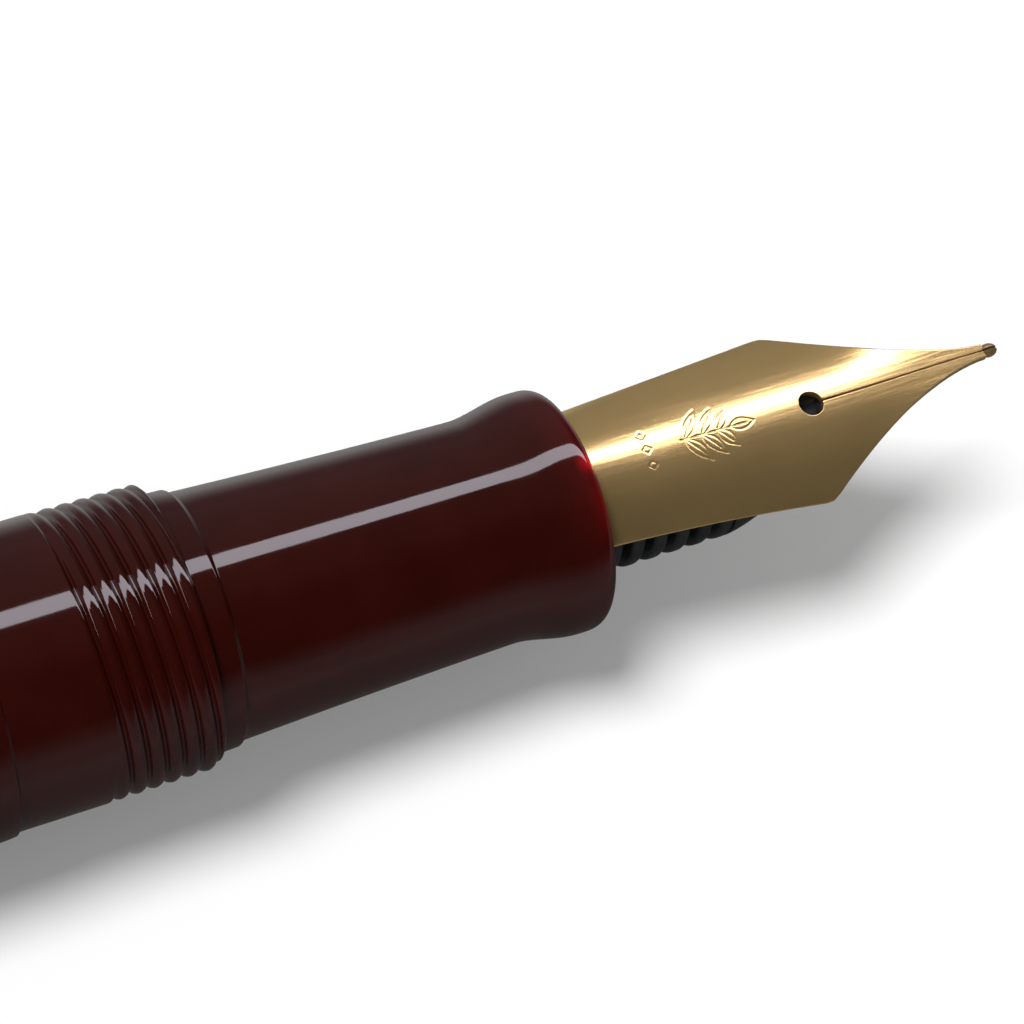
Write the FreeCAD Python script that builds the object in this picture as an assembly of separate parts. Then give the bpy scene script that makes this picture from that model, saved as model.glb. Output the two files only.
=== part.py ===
import FreeCAD
import Part
import math
import os

# Fountain pen with a screw cap, here posted: the cap is pushed onto the barrel's tail for writing.
# The pen lies along X, nib towards +X, upper face of the nib and the clip towards +Z. The origin is
# on the pen's axis, in the middle of the smooth neck that the mouth of the cap closes over. All
# sizes are millimetres. "r" is a radius about the pen's axis.

V = FreeCAD.Vector
ORIGIN = V(0, 0, 0)
ALONG = V(1, 0, 0)
SLACK = 0.03        # gap between parts that slide or are pushed together
TOUCH = 1e-6        # points closer than this are the same corner
PAST = 1.0          # how far a cutter runs on past what it cuts
CHAMFER = 0.2       # broken corner on small turned parts
EDGE = 0.1          # softened edge on the visible resin parts

# Barrel: screw neck, cigar-shaped body, blind bore
NECK_R = 5.89
NECK_HALF = 1.95
MOUTH_X = 6.5
MOUTH_R = 5.60
MOUTH_CHAMFER = 0.35
THREAD_PITCH = 0.72
THREAD_STARTS = 3
THREAD_DEPTH = 0.32
THREAD_GROOVE = 0.34
THREAD_GROOVE_START = 2.19
THREAD_FRONT_R = 5.86       # the thread's crests fall away slightly towards the mouth
CUTTER_STANDOFF = 0.12      # a groove cutter starts this far outside the surface
STEP_X = -2.05
STEP_R = 6.05
BELLY_X = -25.0
BELLY_R = 6.25
TAIL_X = -75.5
TAIL_DOME = 7.5
TAPER_SHARE = 0.355
TAPER_POWER = 1.5
SCREW_SOCKET_R = 4.45
SCREW_SOCKET_END = -4.5
BARREL_BORE_R = 4.2
BARREL_BORE_END = -58.0
DRILL_POINT_END = -61.0

# Section: the flared grip with its lip, collar and screw tenon
LIP_FACE_X = 23.75
LIP_R = 5.18
LIP_ROUND = 0.85
LIP_CREST_X = 22.65
GRIP_X = 19.75
GRIP_R = 4.75
GRIP_WIDENING = 0.42
GRIP_HOLLOW = 0.14
GRIP_LENGTH = 12.4
COLLAR_FOOT_X = 7.6
COLLAR_X = 7.45
COLLAR_R = 5.37
COLLAR_EDGE = 0.06
TENON_R = 4.40
TENON_END = -3.5
TENON_PITCH = 0.75
TENON_DEPTH = 0.25
TENON_GROOVE = 0.62
TENON_RELIEF = 1.2  # plain length between the tenon's thread and the collar
LIP_BORE_R = 4.05   # opening that the nib and feed come out of
UNIT_BORE_R = 3.97
UNIT_BORE_FRONT = 21.6
UNIT_BORE_END = 10.4
NIPPLE_HOLE_R = 2.0
CONVERTER_BORE_R = 3.35
CONVERTER_BORE_FRONT = 9.0

# Nib: a sheet rolled tightly at its root, opening to the lip's curve and almost flat at the tip
NIB_X = 23.35       # where the nib's own lengths are counted from
NIB_ROOT = -9.0
NIB_SHOULDER = 10.67
NIB_TINE_END = 19.3
NIB_SHEET = 0.30
NIB_RIDGE = 3.44
NIB_FLARE_X = -1.8  # the root is this tight up to here, and opens from here to the lip
NIB_ROOT_R = 3.44
NIB_LIP_R = 3.97
NIB_SLOPE_LENGTH = 12.0     # the middle line comes down from the lip over this length
NIB_SLOPE_POWER = 1.5
NIB_OPENING_POWER = 2.2     # the curvature is lost mostly near the lip
NIB_TIP_RISE = 0.16
NIB_TIP_RISE_FROM = 13.0
NIB_TIP_RISE_LENGTH = 5.0
NIB_SHOULDER_R = 6.41
NIB_FLATTENING = 0.0385     # loss of curvature per millimetre past the shoulder
NIB_TIP_CURVATURE = 0.008
NIB_ROOT_HALF = 2.70
NIB_LIP_HALF = 3.12
NIB_WIDENING = 0.055        # growth of the half width per millimetre at the lip
NIB_SPREADING = 0.00265      # and its further growth per square millimetre
NIB_TIP_HALF = 0.33
NIB_SHOULDER_HALF = 4.01
NIB_TINE_POWER = 1.65
BREATHER_X = 10.96
BREATHER_R = 0.55
SLIT = 0.10
PELLET_FROM = 19.15
PELLET_LENGTH = 0.72
PELLET_R = 0.38

# Feed and the housing that holds nib and feed together
FEED_R = 3.10
FEED_SEAT_R = 3.44
FEED_SEAT_FRONT = 21.5
FEED_COLLAR_R = 3.92   # fills the lip's opening under the nib
FEED_COLLAR_FRONT = 23.45
FEED_SEAT_REAR = 13.8
FEED_TOP_R = NIB_RIDGE - NIB_SHEET - SLACK
FEED_TIP = 12.4
FEED_NOSE = 0.4
FEED_NOSE_R = 0.9
FEED_SLOPE = 9.4      # a place on the tapering nose, and the feed's radius there
FEED_SLOPE_R = 2.1
FEED_FULL = 6.7        # the feed is full size up to here, then tapers to its tip
KEEL_Z = 2.6           # the underside is rounded about a line this high, so it rises to the tip
KEEL_NOSE_R = 1.2
KEEL_SLOPE_R = 3.4
KEEL_FULL_R = 5.0
KEEL_ROOT_R = 5.9
FEED_CORE_R = 2.15
FEED_CORE_TAPER = 0.12 # each gap is cut this much deeper than the one behind it
FIN_PITCH = 1.05
FIN_GAP = 0.5
FIN_COUNT = 6
FIN_FIRST = 0.9
FIN_TOP_Z = 1.6
RECESS_MARGIN = 1.5    # degrees between the nib's edges and the sides of its seat
FEED_STEM_R = 1.40
FEED_STEM_END = 3.2
INK_CHANNEL = 0.25
HOUSING_FRONT = 21.5
HOUSING_R = 3.95
HOUSING_BORE_R = 3.47
HOUSING_CHAMFER = 0.15
HOUSING_FLOOR_X = 11.5
NIPPLE_R = 1.90
NIPPLE_BORE_R = 1.45
NIPPLE_END = 3.0

# Converter: a screw-driven piston filler that pushes onto the housing's nipple
SOCKET_FRONT = 8.4
SOCKET_R = 3.30
SOCKET_REAR = -2.5
SOCKET_SEAT_END = 2.5
SOCKET_SEAT_CONE = 0.4
SOCKET_LEAD_IN = 0.25
TUBE_R = 3.00
TUBE_BORE_R = 2.55
TUBE_FRONT = 0.9
TUBE_REAR = -33.0
BAND_R = 3.40
BAND_FRONT = -29.0
BAND_REAR = -33.6
BAND_CHAMFER = 0.15
GUIDE_FRONT = -30.0
GUIDE_REAR = -43.0
GUIDE_WAIST = -39.0
GUIDE_POCKET_R = 2.2
ROD_R = 1.70
ROD_FLAT = 1.30
ROD_REAR = -41.0
ROD_FRONT = -21.5
ROD_BORE_R = 0.98
ROD_BORE_SPARE = 0.5        # room in front of the screw at the bottom of the rod's bore
ROD_HEAD_R = 1.20
ROD_HEAD_FRONT = -18.6
SEAL_REAR = -21.45
SEAL_FRONT = -18.0
SEAL_R = 2.53
SEAL_WAIST_R = 2.25
SEAL_LIP = 0.6
SCREW_R = 0.90
SCREW_FRONT = -22.5
SCREW_LEAD = 2.0
SCREW_DEPTH = 0.22
SCREW_GROOVE = 0.6
SCREW_STARTS = 2
SCREW_RUNOUT = 0.7
FLANGE_R = 2.1
FLANGE_FRONT = -41.8
FLANGE_REAR = -42.8
SCREW_STUB_END = -46.5
KNOB_FRONT = -43.1
KNOB_REAR = -49.5
KNOB_R = 3.30
KNOB_FLUTES = 24
KNOB_FLUTE_R = 0.28
KNOB_FLUTE_OFFSET = 0.08    # the flutes' centres stand this far outside the knob
KNOB_CROWN = 0.6
KNOB_SHOULDER = 1.0

# Cap, posted on the tail; "depth" counts from its mouth towards its closed end
CAP_MOUTH_X = -44.0
CAP_MOUTH_R = 7.10
CAP_WIDEST_R = 7.25
CAP_WIDEST_DEPTH = 15.0
CAP_TOP_R = 6.72
CAP_TOP_DEPTH = 51.0
CAP_MOUTH_BORE_R = 6.02
CAP_MOUTH_LEAD_IN = 0.15
CAP_LIP = 0.45      # length over which the mouth's outer edge is rounded
CAP_LIP_R = 0.5     # and how much the rounding takes off the radius
CAP_SCREW_BORE_R = 5.95
CAP_SCREW_FROM = 4.0
CAP_SCREW_TO = 7.2
CAP_SCREW_CREST_R = 5.60
CAP_SCREW_RIDGE = 0.34
CAP_SCREW_CONE = 0.4
CAP_BORE_R = 5.60
CAP_BORE_FROM = 9.0
CAP_WEB = 1.5
STUD_HOLE_R = 1.55
BAND_SEAT_R = 6.75
CAP_BAND_FROM = 1.6
CAP_BAND_WIDTH = 4.6
CAP_BAND_R = 7.22
TRIM_RING_FROM = 7.4
TRIM_RING_WIDTH = 0.8
TRIM_RING_R = 7.25
LINER_MOUTH = 24.5
LINER_TOP = 47.2
LINER_R = 5.55
LINER_BORE_R = 4.75
LINER_TOP_WALL = 1.0
LINER_LEAD_IN = 0.5
LINER_LEAD_IN_R = 0.35
CLIP_RING_THICKNESS = 1.0
CLIP_LUG_HALF = 2.0
CLIP_LUG_TOP = 8.3
CLIP_LUG_FOOT = 6.0
CLIP_RING_R = 6.78
# The clip's arm: depth from the cap's mouth, height of its underside, half width, thickness
CLIP_ARM = ((50.97, 7.0, 2.0, 1.25), (46.97, 7.75, 2.0, 1.2), (38.97, 8.35, 1.8, 1.1),
            (26.97, 8.4, 1.45, 1.05))
CLIP_FRONT_HALF = 1.1
CLIP_FRONT_THICKNESS = 0.95
CLIP_FRONT_DROP = 0.45      # the arm's underside runs in this far below the ball's centre
CLIP_EDGE_SHARE = 0.45      # share of the thickness at which the crowned top meets the side
CLIP_BALL_DEPTH = 14.0
CLIP_BALL_R = 1.55
FINIAL_TOP_DEPTH = 60.0
FINIAL_SIDE = 1.2
FINIAL_EDGE = 0.15
STUD_R = 1.50
STUD_REAR_DEPTH = 55.8
STUD_FRONT_DEPTH = 47.35
NUT_FLATS = 5.0
NUT_LENGTH = 2.0


def turned(*outline):
    """Solid turned about the pen's axis. The outline's items are (x, r) corners joined by straight
    lines, or lists of (x, r) points that a smooth curve runs through."""
    closing = outline[0][0] if isinstance(outline[0], list) else outline[0]
    edges = []
    last = None
    for item in outline + (closing,):
        pairs = item if isinstance(item, list) else [item]
        points = [V(x, 0, r) for x, r in pairs]
        if last is not None and last.distanceToPoint(points[0]) > TOUCH:
            edges.append(Part.LineSegment(last, points[0]).toShape())
        if len(points) > 1:
            curve = Part.BSplineCurve()
            curve.interpolate(points)
            edges.append(curve.toShape())
        last = points[-1]
    return Part.Face(Part.Wire(edges)).revolve(ORIGIN, ALONG, 360)


def steps(start, end, count):
    """Evenly spaced numbers from start to end, both included."""
    return [start + (end - start) * i / (count - 1) for i in range(count)]


def rod(radius, x_from, x_to):
    return Part.makeCylinder(radius, x_to - x_from, V(x_from, 0, 0), ALONG)


def block(x_from, x_to, y_half, z_from, z_to):
    return Part.makeBox(x_to - x_from, 2 * y_half, z_to - z_from, V(x_from, -y_half, z_from))


def helical_ridges(base_r, tip_r, base_width, lead, starts, x_from, x_to):
    """Triangular ridges that wind right-handed about the axis, one solid per start. They stand from
    base_r to tip_r, and are used as a cutter or fused on."""
    ridges = []
    for start in range(starts):
        spine = Part.makeHelix(lead, x_to - x_from, base_r)
        corners = [V(base_r, 0, -base_width / 2), V(tip_r, 0, 0), V(base_r, 0, base_width / 2)]
        profile = Part.makePolygon(corners + [corners[0]])
        ridge = Part.Wire(spine.Edges).makePipeShell([profile], True, True)
        if ridge.Volume < 0:
            ridge.reverse()
        ridge.rotate(ORIGIN, V(0, 0, 1), 360.0 * start / starts)
        ridge.rotate(ORIGIN, V(0, 1, 0), 90)
        ridge.translate(V(x_from, 0, 0))
        ridges.append(ridge)
    return ridges


def barrel_radius(x):
    """Outer radius of the body: widest at the belly, tapering to a domed tail."""
    if x > BELLY_X:
        towards_step = (x - BELLY_X) / (STEP_X - BELLY_X)
        return BELLY_R - (BELLY_R - STEP_R) * towards_step ** 2
    towards_tail = (BELLY_X - x) / (BELLY_X - TAIL_X)
    radius = BELLY_R * (1 - TAPER_SHARE * towards_tail ** TAPER_POWER)
    into_dome = max(0.0, TAIL_X + TAIL_DOME - x) / TAIL_DOME
    return radius * math.sqrt(max(0.0, 1 - into_dome ** 2))


def make_barrel():
    dome_angles = [math.radians(a) for a in steps(0, 90, 8)]
    dome = [TAIL_X + TAIL_DOME * (1 - math.sin(a)) for a in dome_angles]
    body_x = steps(STEP_X - EDGE, TAIL_X + TAIL_DOME + 3 * PAST, 14) + dome
    body = [(x, barrel_radius(x)) for x in body_x]
    shape = turned(
        (MOUTH_X, SCREW_SOCKET_R), (MOUTH_X, MOUTH_R - EDGE), (MOUTH_X - EDGE, MOUTH_R),
        (MOUTH_X - MOUTH_CHAMFER, THREAD_FRONT_R), (NECK_HALF, NECK_R), (-NECK_HALF, NECK_R),
        (STEP_X, STEP_R - EDGE), body, (DRILL_POINT_END, 0), (BARREL_BORE_END, BARREL_BORE_R),
        (SCREW_SOCKET_END, BARREL_BORE_R), (SCREW_SOCKET_END, SCREW_SOCKET_R))
    cutter_width = THREAD_GROOVE * (THREAD_DEPTH + CUTTER_STANDOFF) / THREAD_DEPTH
    grooves = helical_ridges(
        NECK_R + CUTTER_STANDOFF, NECK_R - THREAD_DEPTH, cutter_width,
        THREAD_PITCH * THREAD_STARTS, THREAD_STARTS, THREAD_GROOVE_START, MOUTH_X + PAST)
    return shape.cut(Part.makeCompound(grooves))


def grip_radius(x):
    """Outer radius of the grip: flared lip, slightly hollow grip, then the rise to the collar."""
    if x > GRIP_X:
        along = (LIP_CREST_X - x) / (LIP_CREST_X - GRIP_X)
        return GRIP_R + (LIP_R - GRIP_R) * (1 + math.cos(math.pi * along)) / 2
    along = (GRIP_X - x) / GRIP_LENGTH
    radius = GRIP_R + GRIP_WIDENING * along - GRIP_HOLLOW * along * (1 - along)
    if x < COLLAR_FOOT_X:
        rise = (COLLAR_FOOT_X - x) / (COLLAR_FOOT_X - COLLAR_X)
        radius += (COLLAR_R - radius) * (1 - math.cos(math.pi * rise)) / 2
    return radius


def make_section():
    turn = [math.radians(a) for a in steps(0, 90, 7)]
    lip = [(LIP_FACE_X - LIP_ROUND * (1 - math.sin(math.pi / 2 - a)),
            LIP_R - LIP_ROUND * (1 - math.sin(a))) for a in turn]
    stations = steps(LIP_CREST_X, GRIP_X, 9) + steps(GRIP_X, COLLAR_FOOT_X, 8)[1:]
    stations += steps(COLLAR_FOOT_X, COLLAR_X, 6)[1:]
    grip = [(x, grip_radius(x)) for x in stations]
    shape = turned(
        (LIP_FACE_X, LIP_BORE_R + EDGE), lip, grip, (MOUTH_X + COLLAR_EDGE, COLLAR_R),
        (MOUTH_X, COLLAR_R - COLLAR_EDGE), (MOUTH_X, TENON_R), (TENON_END + CHAMFER, TENON_R),
        (TENON_END, TENON_R - CHAMFER), (TENON_END, CONVERTER_BORE_R),
        (CONVERTER_BORE_FRONT, CONVERTER_BORE_R), (CONVERTER_BORE_FRONT, NIPPLE_HOLE_R),
        (UNIT_BORE_END, NIPPLE_HOLE_R), (UNIT_BORE_END, UNIT_BORE_R),
        (UNIT_BORE_FRONT, UNIT_BORE_R), (UNIT_BORE_FRONT, LIP_BORE_R), (LIP_FACE_X - EDGE, LIP_BORE_R))
    grooves = helical_ridges(TENON_R + CUTTER_STANDOFF, TENON_R - TENON_DEPTH, TENON_GROOVE, TENON_PITCH, 1,
                             TENON_END - TENON_GROOVE, MOUTH_X - TENON_RELIEF)
    return shape.cut(Part.makeCompound(grooves))


def nib_opening(x):
    """How far the sheet has opened from its tight root (0) to its curve at the lip (1)."""
    return min(1.0, max(0.0, (x - NIB_FLARE_X) / -NIB_FLARE_X))


def nib_half_width(x):
    """Half of the nib's width seen from above: widening to the shoulder, then narrowing tines."""
    if x <= 0:
        return NIB_ROOT_HALF + (NIB_LIP_HALF - NIB_ROOT_HALF) * nib_opening(x)
    if x <= NIB_SHOULDER:
        return NIB_LIP_HALF + NIB_WIDENING * x + NIB_SPREADING * x ** 2
    left = (NIB_TINE_END - x) / (NIB_TINE_END - NIB_SHOULDER)
    return NIB_TIP_HALF + (NIB_SHOULDER_HALF - NIB_TIP_HALF) * left ** NIB_TINE_POWER


def nib_curvature(x):
    """Curvature of the rolled sheet across the nib."""
    shoulder = 1 / NIB_SHOULDER_R
    if x <= 0:
        return 1 / (NIB_ROOT_R + (NIB_LIP_R - NIB_ROOT_R) * nib_opening(x))
    if x <= NIB_SHOULDER:
        return shoulder + (1 / NIB_LIP_R - shoulder) * (1 - x / NIB_SHOULDER) ** NIB_OPENING_POWER
    return max(NIB_TIP_CURVATURE, shoulder - NIB_FLATTENING * (x - NIB_SHOULDER))


def nib_ridge(x):
    """Height of the nib's middle line above the axis."""
    if x <= 0:
        return 1 / nib_curvature(x)
    slope = (NIB_LIP_R - NIB_RIDGE) * max(0.0, 1 - x / NIB_SLOPE_LENGTH) ** NIB_SLOPE_POWER
    rise = min(1.0, max(0.0, (x - NIB_TIP_RISE_FROM) / NIB_TIP_RISE_LENGTH))
    return NIB_RIDGE + slope + NIB_TIP_RISE * rise ** 2 * (3 - 2 * rise)


def nib_band(x):
    """Cross-section of the sheet at one place: two arcs with square edges."""
    radius = 1 / nib_curvature(x)
    centre = nib_ridge(x) - radius
    spread = math.asin(nib_half_width(x) / radius)
    arcs = []
    for r in (radius, radius - NIB_SHEET):
        ends = [V(NIB_X + x, r * math.sin(a), centre + r * math.cos(a)) for a in (-spread, 0, spread)]
        arcs.append(Part.Arc(*ends).toShape())
    outer, inner = arcs
    sides = [Part.LineSegment(outer.Vertexes[i].Point, inner.Vertexes[i].Point).toShape()
             for i in (0, 1)]
    return Part.Wire(Part.__sortEdges__([outer, sides[1], inner, sides[0]]))


def slit_cutter():
    end = NIB_X + NIB_TINE_END + PAST
    return block(NIB_X + BREATHER_X, end, SLIT / 2, NIB_RIDGE - PAST, NIB_RIDGE + PAST)


def make_nib():
    stations = [NIB_ROOT] + steps(NIB_FLARE_X, 0, 4) + steps(0, NIB_SHOULDER, 11)[1:]
    stations += steps(NIB_SHOULDER, NIB_TINE_END, 17)[1:]
    sheet = Part.makeLoft([nib_band(x) for x in stations], True, True)
    breather = Part.makeCylinder(BREATHER_R, 2 * PAST, V(NIB_X + BREATHER_X, 0, NIB_RIDGE - PAST))
    return sheet.cut(Part.makeCompound([breather, slit_cutter()]))


def make_nib_tipping(nib):
    """The hard pellet at the writing tip, split by the slit into one half on each tine."""
    half = PELLET_LENGTH / 2
    outline = [(half * math.cos(math.radians(a)), PELLET_R * math.sin(math.radians(a)))
               for a in steps(180, 0, 9)]
    pellet = turned(outline)
    pellet.translate(V(NIB_X + PELLET_FROM + half, 0, nib_ridge(NIB_TINE_END) - NIB_SHEET / 2))
    return pellet.cut(nib).cut(slit_cutter())


def upright_wedge(radius, x_from, x_to, degrees):
    """Slice of a solid rod about the axis, centred on straight up."""
    wedge = Part.makeCylinder(radius, x_to - x_from, V(x_from, 0, 0), ALONG, degrees)
    middle = wedge.CenterOfMass
    wedge.rotate(ORIGIN, ALONG, -math.degrees(math.atan2(-middle.y, middle.z)))
    return wedge


def make_feed():
    """Comb feed: solid upper half under the nib, open fins below, and a stem to the converter."""
    tip, nose, slope = NIB_X + FEED_TIP, NIB_X + FEED_TIP - FEED_NOSE, NIB_X + FEED_SLOPE
    full = NIB_X + FEED_FULL
    blade = turned((tip, 0), [(tip, 0), (nose, FEED_NOSE_R), (slope, FEED_SLOPE_R), (full, FEED_R)],
                   (FEED_SEAT_FRONT, FEED_R), (FEED_SEAT_FRONT, 0))
    keel = turned((tip, 0), [(tip, 0), (nose, KEEL_NOSE_R), (slope, KEEL_SLOPE_R), (full, KEEL_FULL_R),
                  (FEED_SEAT_FRONT, KEEL_ROOT_R)], (FEED_SEAT_FRONT, 0))
    keel.translate(V(0, 0, KEEL_Z))
    blade = blade.common(keel)
    outside = FEED_R + PAST
    gaps = []
    for i in range(FIN_COUNT):
        x = NIB_X + FIN_FIRST + i * FIN_PITCH
        core = rod(FEED_CORE_R - FEED_CORE_TAPER * i, x - PAST, x + FIN_GAP + PAST)
        gap = rod(outside, x, x + FIN_GAP).cut(core)
        gaps.append(gap.common(block(x, x + FIN_GAP, outside, -outside, FIN_TOP_Z)))
    blade = blade.cut(Part.makeCompound(gaps))
    spread = math.degrees(math.asin(NIB_LIP_HALF / NIB_LIP_R)) + RECESS_MARGIN
    recess = upright_wedge(FEED_COLLAR_R + PAST, FEED_SEAT_REAR, FEED_COLLAR_FRONT, 2 * spread)
    recess = recess.cut(rod(FEED_TOP_R, FEED_SEAT_REAR - PAST, FEED_COLLAR_FRONT + PAST))
    seat = rod(FEED_SEAT_R, FEED_SEAT_REAR, FEED_SEAT_FRONT)
    seat = seat.fuse(rod(FEED_COLLAR_R, FEED_SEAT_FRONT + SLACK, FEED_COLLAR_FRONT)).cut(recess)
    stem = rod(FEED_STEM_R, FEED_STEM_END, FEED_SEAT_REAR)
    channel_floor = FEED_STEM_R - INK_CHANNEL
    channel = block(FEED_STEM_END - PAST, tip - PAST, INK_CHANNEL / 2, channel_floor, outside)
    return blade.fuse([seat, stem]).cut(channel).removeSplitter()


def make_nib_housing():
    return turned(
        (HOUSING_FRONT, HOUSING_BORE_R + EDGE), (HOUSING_FRONT, HOUSING_R - HOUSING_CHAMFER),
        (HOUSING_FRONT - HOUSING_CHAMFER, HOUSING_R), (UNIT_BORE_END + SLACK, HOUSING_R),
        (UNIT_BORE_END + SLACK, NIPPLE_R), (NIPPLE_END + CHAMFER, NIPPLE_R),
        (NIPPLE_END, NIPPLE_R - CHAMFER), (NIPPLE_END, NIPPLE_BORE_R),
        (HOUSING_FLOOR_X, NIPPLE_BORE_R), (HOUSING_FLOOR_X, HOUSING_BORE_R),
        (HOUSING_FRONT - EDGE, HOUSING_BORE_R))


def make_converter_socket():
    return turned(
        (SOCKET_FRONT, NIPPLE_R + SLACK + SOCKET_LEAD_IN), (SOCKET_FRONT, SOCKET_R - CHAMFER),
        (SOCKET_FRONT - CHAMFER, SOCKET_R), (SOCKET_REAR, SOCKET_R), (SOCKET_REAR, TUBE_R + SLACK),
        (TUBE_FRONT + SLACK, TUBE_R + SLACK), (TUBE_FRONT + SLACK, TUBE_BORE_R),
        (SOCKET_SEAT_END - SOCKET_SEAT_CONE, TUBE_BORE_R), (SOCKET_SEAT_END, NIPPLE_R + SLACK),
        (SOCKET_FRONT - SOCKET_LEAD_IN, NIPPLE_R + SLACK))


def make_converter_tube():
    return rod(TUBE_R, TUBE_REAR, TUBE_FRONT).cut(rod(TUBE_BORE_R, TUBE_REAR - PAST, TUBE_FRONT + PAST))


def make_converter_band():
    inner = TUBE_R + SLACK
    edge_r = BAND_R - BAND_CHAMFER
    return turned((BAND_FRONT, inner), (BAND_FRONT, edge_r), (BAND_FRONT - BAND_CHAMFER, BAND_R),
                  (BAND_REAR + BAND_CHAMFER, BAND_R), (BAND_REAR, edge_r), (BAND_REAR, inner))


def flatted_rod(radius, flat, x_from, x_to):
    return rod(radius, x_from, x_to).common(block(x_from, x_to, flat, -radius - PAST, radius + PAST))


def make_converter_guide():
    """Rear body of the converter: plugs the tube and keeps the piston rod from turning."""
    shoulder = TUBE_REAR - SLACK
    body = turned((GUIDE_FRONT, 0), (GUIDE_FRONT, TUBE_BORE_R - SLACK), (shoulder, TUBE_BORE_R - SLACK),
                  (shoulder, TUBE_R), (GUIDE_REAR, TUBE_R), (GUIDE_REAR, 0))
    slot = flatted_rod(ROD_R + SLACK, ROD_FLAT + SLACK, GUIDE_WAIST - PAST, GUIDE_FRONT + PAST)
    return body.cut(slot).cut(rod(GUIDE_POCKET_R, GUIDE_REAR - PAST, GUIDE_WAIST))


def make_piston_rod():
    shank = flatted_rod(ROD_R, ROD_FLAT, ROD_REAR, ROD_FRONT)
    head = rod(ROD_HEAD_R, ROD_FRONT - EDGE, ROD_HEAD_FRONT)
    return shank.fuse(head).cut(rod(ROD_BORE_R, ROD_REAR - PAST, SCREW_FRONT + ROD_BORE_SPARE))


def make_piston_seal():
    inner = ROD_HEAD_R + SLACK
    return turned((SEAL_REAR, inner), (SEAL_REAR, SEAL_R), (SEAL_REAR + SEAL_LIP, SEAL_R),
                  (SEAL_REAR + 2 * SEAL_LIP, SEAL_WAIST_R), (SEAL_FRONT - 2 * SEAL_LIP, SEAL_WAIST_R),
                  (SEAL_FRONT - SEAL_LIP, SEAL_R), (SEAL_FRONT, SEAL_R - EDGE), (SEAL_FRONT, 0),
                  (ROD_HEAD_FRONT + SLACK, 0), (ROD_HEAD_FRONT + SLACK, inner))


def make_converter_spindle():
    shape = turned((SCREW_FRONT, 0), (SCREW_FRONT, SCREW_R - CHAMFER), (SCREW_FRONT - CHAMFER, SCREW_R),
                   (FLANGE_FRONT, SCREW_R), (FLANGE_FRONT, FLANGE_R), (FLANGE_REAR, FLANGE_R),
                   (FLANGE_REAR, SCREW_R), (SCREW_STUB_END, SCREW_R), (SCREW_STUB_END, 0))
    grooves = helical_ridges(SCREW_R + CUTTER_STANDOFF, SCREW_R - SCREW_DEPTH, SCREW_GROOVE, SCREW_LEAD,
                             SCREW_STARTS, FLANGE_FRONT + SCREW_RUNOUT, SCREW_FRONT + SCREW_RUNOUT)
    return shape.cut(Part.makeCompound(grooves))


def make_converter_knob():
    crown_foot = KNOB_REAR + KNOB_CROWN
    inset = KNOB_CROWN * (1 - math.sqrt(0.5))
    crown = [(crown_foot, KNOB_R), (KNOB_REAR + inset, KNOB_R - inset), (KNOB_REAR, KNOB_R - KNOB_CROWN)]
    knob = turned((KNOB_FRONT, 0), (KNOB_FRONT, KNOB_R - CHAMFER), (KNOB_FRONT - CHAMFER, KNOB_R),
                  crown, (KNOB_REAR, 0))
    flute_length = KNOB_FRONT - KNOB_SHOULDER - KNOB_REAR + PAST
    away = KNOB_R + KNOB_FLUTE_OFFSET
    flutes = []
    for i in range(KNOB_FLUTES):
        turn = 2 * math.pi * i / KNOB_FLUTES
        foot = V(KNOB_REAR - PAST, away * math.sin(turn), away * math.cos(turn))
        flutes.append(Part.makeCylinder(KNOB_FLUTE_R, flute_length, foot, ALONG))
    return knob.cut(Part.makeCompound(flutes)).cut(rod(SCREW_R, SCREW_STUB_END, KNOB_FRONT + PAST))


def cap_x(depth):
    return CAP_MOUTH_X - depth


def cap_radius(depth):
    """Outer radius of the cap: a slight swell past the mouth, then a slow taper to the clip."""
    if depth < CAP_WIDEST_DEPTH:
        return CAP_WIDEST_R - (CAP_WIDEST_R - CAP_MOUTH_R) * (1 - depth / CAP_WIDEST_DEPTH) ** 2
    along = (depth - CAP_WIDEST_DEPTH) / (CAP_TOP_DEPTH - CAP_WIDEST_DEPTH)
    return CAP_WIDEST_R - (CAP_WIDEST_R - CAP_TOP_R) * along ** 2


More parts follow.
